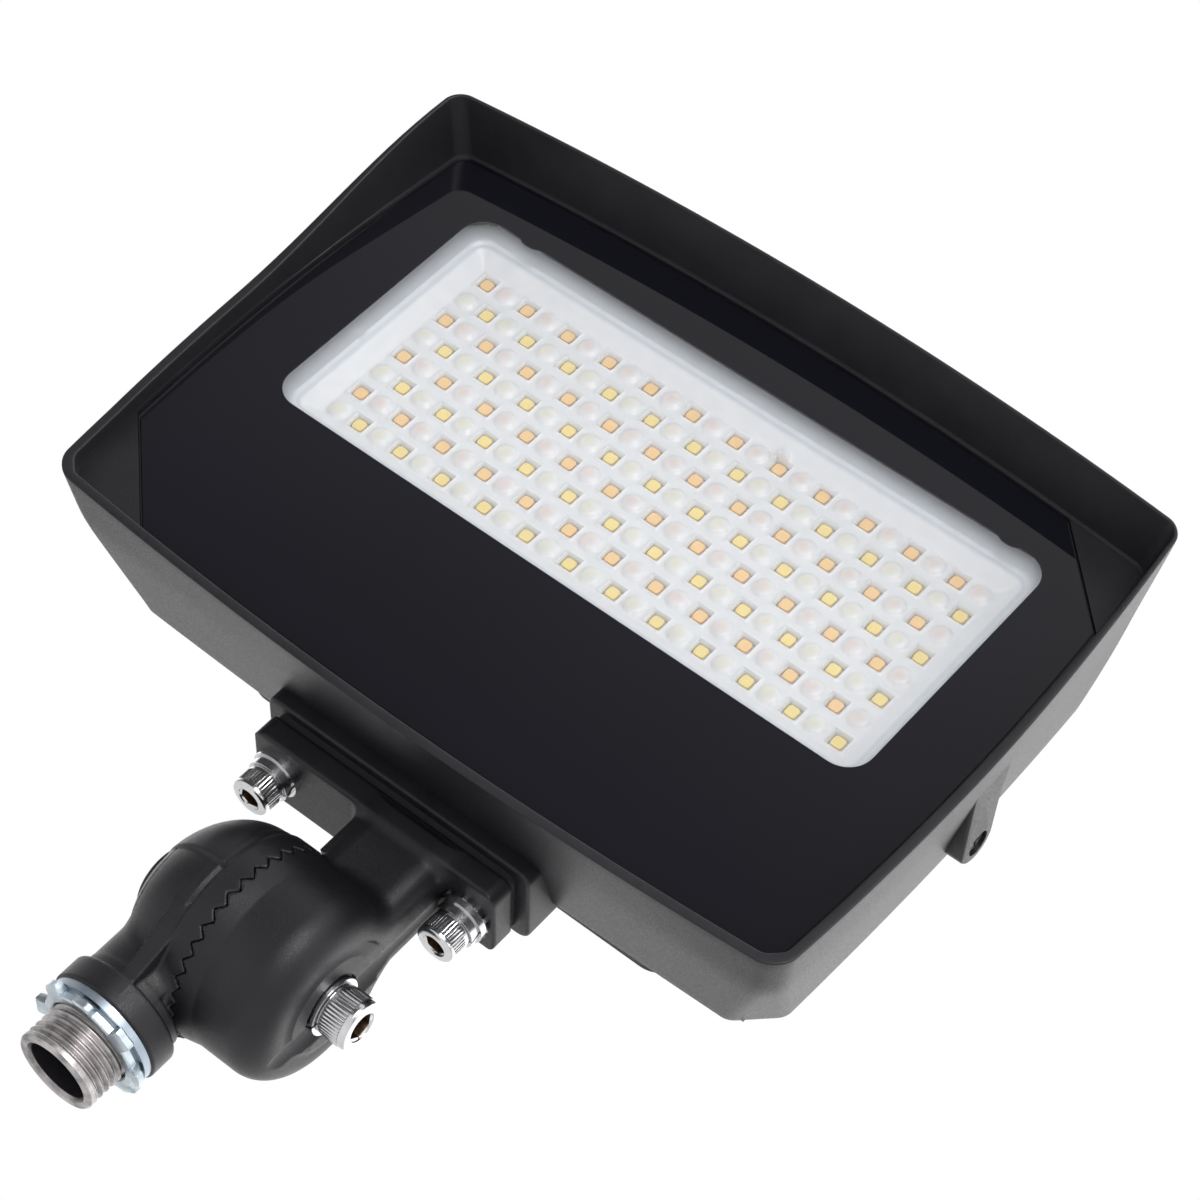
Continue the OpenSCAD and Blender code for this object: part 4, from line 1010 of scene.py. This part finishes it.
def trayLines(count, pitch, half):
    # grid lines that meet every pocket's edges and are fine over the domes
    steps = [0.06, 0.13, 0.2, 0.26, 0.32, 0.38, 0.44]
    inside = np.array([-0.5] + [-v for v in steps[::-1]] + [0] + steps) * pitch
    edges = np.array([-optics["frame"], -optics["pocket"], optics["pocket"], optics["frame"]])
    near = np.array([v for v in inside if np.abs(v - edges).min() > 0.12])
    cell = np.sort(np.concatenate([near, edges]))
    lines = np.concatenate([(i - (count - 1) / 2) * pitch + cell for i in range(count)])
    last = lines.max()
    outer = np.arange(last + 0.5, half, 0.55)
    return np.concatenate([-outer[::-1], lines[lines > -last - 0.3], outer])


def buildTray():
    o = optics
    xs = trayLines(o["cols"], o["pitchX"], glass["windowW"] / 2 + o["margin"])
    zs = trayLines(o["rows"], o["pitchZ"], glass["windowH"] / 2 + o["margin"])
    x, z = np.meshgrid(xs, zs, indexing="ij")
    depthIn = -roundRectDistance(x, z, glass["windowW"] / 2, glass["windowH"] / 2, glass["windowR"])
    # the lip, a small step, the sloping wall and the floor
    t = np.clip((depthIn - o["lip"]) / (o["slope"] - o["lip"]), 0, 1)
    slope = t * t * (3 - 2 * t)
    y = o["rimY"] + (o["floorY"] - o["rimY"]) * (0.16 * np.clip((depthIn - o["lip"] + 0.7) / 0.5, 0, 1) + 0.84 * slope)
    for cx, cz, size in mouldMarks:
        blob = np.exp(-(((x - cx) ** 2 + (z - cz) ** 2) / size ** 2) ** 1.5)
        y = y + (o["rimY"] + 0.5 - y) * 0.75 * blob
    # painted shade: a greyer lip and a darker soft line where the slope starts, standing for the shade of a groove
    tintAndShade = np.ones((*x.shape, 3))
    lipShadeShare = np.clip((o["lip"] - depthIn) / 0.6, 0, 1)[..., None]
    tintAndShade *= 1 - lipShadeShare * (1 - np.array(o["lipShadeTint"]))
    line = np.exp(-((depthIn - o["lip"] - 0.5) / 0.45) ** 2)[..., None]
    tintAndShade *= 1 - line * (1 - np.array(o["grooveShadeTint"]))
    hole = np.zeros(x.shape, bool)
    for r, c, cx, cz in ledCentres():
        i = np.where(np.abs(xs - cx) < 3.3)[0]
        k = np.where(np.abs(zs - cz) < 3.7)[0]
        box = np.ix_(i, k)
        dx, dz = x[box] - cx, z[box] - cz
        if (r + c) % 2:
            d = np.sqrt(dx ** 2 + dz ** 2) / o["domeR"]
            rise = np.sqrt(np.clip(1 - d ** 2, 0, 1))
            y[box] -= o["domeH"] * rise * (1 - 0.1 * rise)
            colour = np.array(o["coolTint"] if r % 2 else o["warmTint"])
            weight = np.exp(-(((dx + 0.4) ** 2 + (dz + 0.2) ** 2) / 1.9 ** 2))[..., None]
            tintAndShade[box] *= 1 - weight * (1 - colour)
        else:
            reach = np.maximum(np.abs(dx), np.abs(dz))
            y[box] -= o["ridge"] * np.exp(-((reach - o["frame"]) / 0.3) ** 2)
            y[box] = np.where(reach < o["frame"] - 0.01, o["floorY"] + 0.25, y[box])
            y[box] = np.where(reach < o["pocket"] + 0.01, o["chipY"] + 0.2, y[box])
            hole[box] |= reach < o["pocket"] - 0.05
    outside = depthIn < -o["margin"] - 0.3
    back = np.maximum(y + o["thick"], np.where(hole, 9.9, o["rimY"] + 1))
    back = np.minimum(np.maximum(back, o["rimY"] + 1), o["backY"])
    sheetSolid("lensTray", x, z, y, back, ~outside, hole, tintAndShade)


def sheetSolid(name, x, z, front, back, keep, hole, tintAndShade):
    # two facing sheets on one grid, joined round every edge and hole
    nx, nz = x.shape
    index = np.arange(nx * nz).reshape(nx, nz)
    whole = keep[:-1, :-1] & keep[1:, :-1] & keep[:-1, 1:] & keep[1:, 1:]
    open_ = hole[:-1, :-1] | hole[1:, :-1] | hole[:-1, 1:] | hole[1:, 1:]
    cells = np.argwhere(whole & ~open_)
    i, k = cells.T
    quads = np.stack([index[i, k], index[i + 1, k], index[i + 1, k + 1], index[i, k + 1]], 1)
    edges = np.concatenate([quads[:, [0, 1]], quads[:, [1, 2]], quads[:, [2, 3]], quads[:, [3, 0]]])
    key = edges[:, 0] * (nx * nz) + edges[:, 1]
    twin = edges[:, 1] * (nx * nz) + edges[:, 0]
    border = edges[~np.isin(key, twin)]
    n = nx * nz
    skirt = np.stack([border[:, 1], border[:, 0], border[:, 0] + n, border[:, 1] + n], 1)
    faces = np.concatenate([quads, quads[:, ::-1] + n, skirt])
    points = np.concatenate([np.column_stack([x.ravel(), front.ravel(), z.ravel()]),
                             np.column_stack([x.ravel(), back.ravel(), z.ravel()])])
    used = np.unique(faces)
    renumber = np.full(2 * n, -1)
    renumber[used] = np.arange(len(used))
    colours = np.concatenate([tintAndShade.reshape(-1, 3)] * 2)[used]
    piece = makePiece(name, points[used] + headPlace, renumber[faces], "clear_optic", "head", ("optic_tray",), 40)
    # the point colours hold the chips' colour under the domes and painted shade on the lip and groove line
    layer = piece.data.color_attributes.new("phosphorTintAndShade", "FLOAT_COLOR", "POINT")
    layer.data.foreach_set("color", np.column_stack([colours, np.ones(len(colours))]).ravel().astype(np.float32))


def buildLeds():
    # white packages with a rounded phosphor square on each
    for parity, label, slotName in ((0, "warm", "warm_phosphor"), (1, "cool", "cool_phosphor")):
        points, faces, slots = [], [], []
        for r, _, cx, cz in ledCentres():
            if r % 2 != parity:
                continue
            for (half, corner, low, high), kind in ((ledShapes["package"], 1), (ledShapes["phosphor"], 0)):
                p, f = softPlate(roundedOutline(2 * half, 2 * half, corner, 3), low, high, 0.12, "XZY")
                start = sum(len(q) for q in points)
                points.append(p + [cx, 0, cz])
                faces += [tuple(i + start for i in face) for face in f]
                slots += [kind] * len(f)
        makePiece(label + "Leds", np.concatenate(points) + headPlace, faces, [slotName, "led_package"], "head",
                  (label + "_leds",), 30, slots)


buildTray()
buildLeds()
print("tray and LEDs made")


# Finishes of the CAD pieces that stay

def finishKept():
    for row in frame["record"]["subparts"]:
        mesh = frame["nodes"][row["node"]].data
        look = looks[row["material_slot"]]
        if not mesh.materials:
            mesh.materials.append(look)
        for i in range(len(mesh.materials)):
            mesh.materials[i] = look


finishKept()


# Studio

studio = {
    "floorZ": -1.2, "floorSize": 30.0, "world": 1.0, "lowGlow": 0.04, "highGlow": 1.95,
    "glowSide": (0.05, 0.46, 0.89), "glowFrom": -0.17, "glowTo": 0.7,
}
# place in metres, side and power of each lamp
lamps = {
    "keyLamp": ((0.5, -1.28, 0.28), 0.6, 16.0),
    "sideLamp": ((1.25, -0.5, 0.4), 0.6, 3.0),
    "topLamp": ((0.1, -0.3, 1.5), 1.2, 5.0),
    "frontLamp": ((0.55, -1.15, -0.3), 0.8, 3.0),
}


def addFloor():
    size, z = studio["floorSize"] / 2, studio["floorZ"]
    mesh = bpy.data.meshes.new("floor")
    mesh.from_pydata([(-size, -size, z), (size, -size, z), (size, size, z), (-size, size, z)], [], [(0, 1, 2, 3)])
    floor = bpy.data.objects.new("floor", mesh)
    bpy.context.collection.objects.link(floor)
    material, tree, shader = newMaterial("pale floor", Roughness=0.9)
    grain = objectNoise(tree, 3, 2)
    tree.links.new(blendColours(tree, grain, (0.88, 0.88, 0.88), (0.92, 0.92, 0.92)), shader.inputs["Base Color"])
    mesh.materials.append(material)


def addLamp(name, place, size, power):
    data = bpy.data.lights.new(name, "AREA")
    data.shape = "RECTANGLE"
    data.size = data.size_y = size
    data.energy = power
    lamp = bpy.data.objects.new(name, data)
    lamp.location = place
    middle = Vector((headX * mm, 0.0, 0.11))
    lamp.rotation_euler = (middle - Vector(place)).to_track_quat("-Z", "Y").to_euler()
    bpy.context.collection.objects.link(lamp)
    return lamp


def addWorld():
    # smooth faces mirror a glow from behind and above, the camera sees white, the rest an even light
    world = bpy.data.worlds.new("studio")
    bpy.context.scene.world = world
    world.use_nodes = True
    tree = world.node_tree
    path = addNode(tree, "LightPath").outputs
    side = addNode(tree, "VectorMath", {0: addNode(tree, "TexCoord").outputs["Generated"]})
    side.operation = "DOT_PRODUCT"
    side.inputs[1].default_value = studio["glowSide"]
    sheen = mapRange(tree, side.outputs["Value"], *[studio[k] for k in ("glowFrom", "glowTo", "lowGlow", "highGlow")])
    sheen.interpolation_type = "SMOOTHSTEP"
    glossy = addNode(tree, "Mix", {"Factor": path["Is Glossy Ray"], "B": sheen.outputs["Result"]}, A=studio["world"])
    seen = addNode(tree, "Math", {0: path["Is Camera Ray"], 1: path["Is Transmission Ray"]})
    seen.operation = "MAXIMUM"
    white = addNode(tree, "Mix", {"Factor": seen.outputs["Value"], "A": glossy.outputs["Result"]}, B=1.0)
    background = tree.nodes["Background"]
    background.inputs["Color"].default_value = (1, 1, 1, 1)
    tree.links.new(white.outputs["Result"], background.inputs["Strength"])


addFloor()
addWorld()
for name, (place, size, power) in lamps.items():
    lamp = addLamp(name, place, size, power)
    lamp.visible_diffuse = name != "keyLamp"
    lamp.visible_glossy = name != "frontLamp"
bpy.context.scene.view_settings.view_transform = "Standard"
print("studio set")
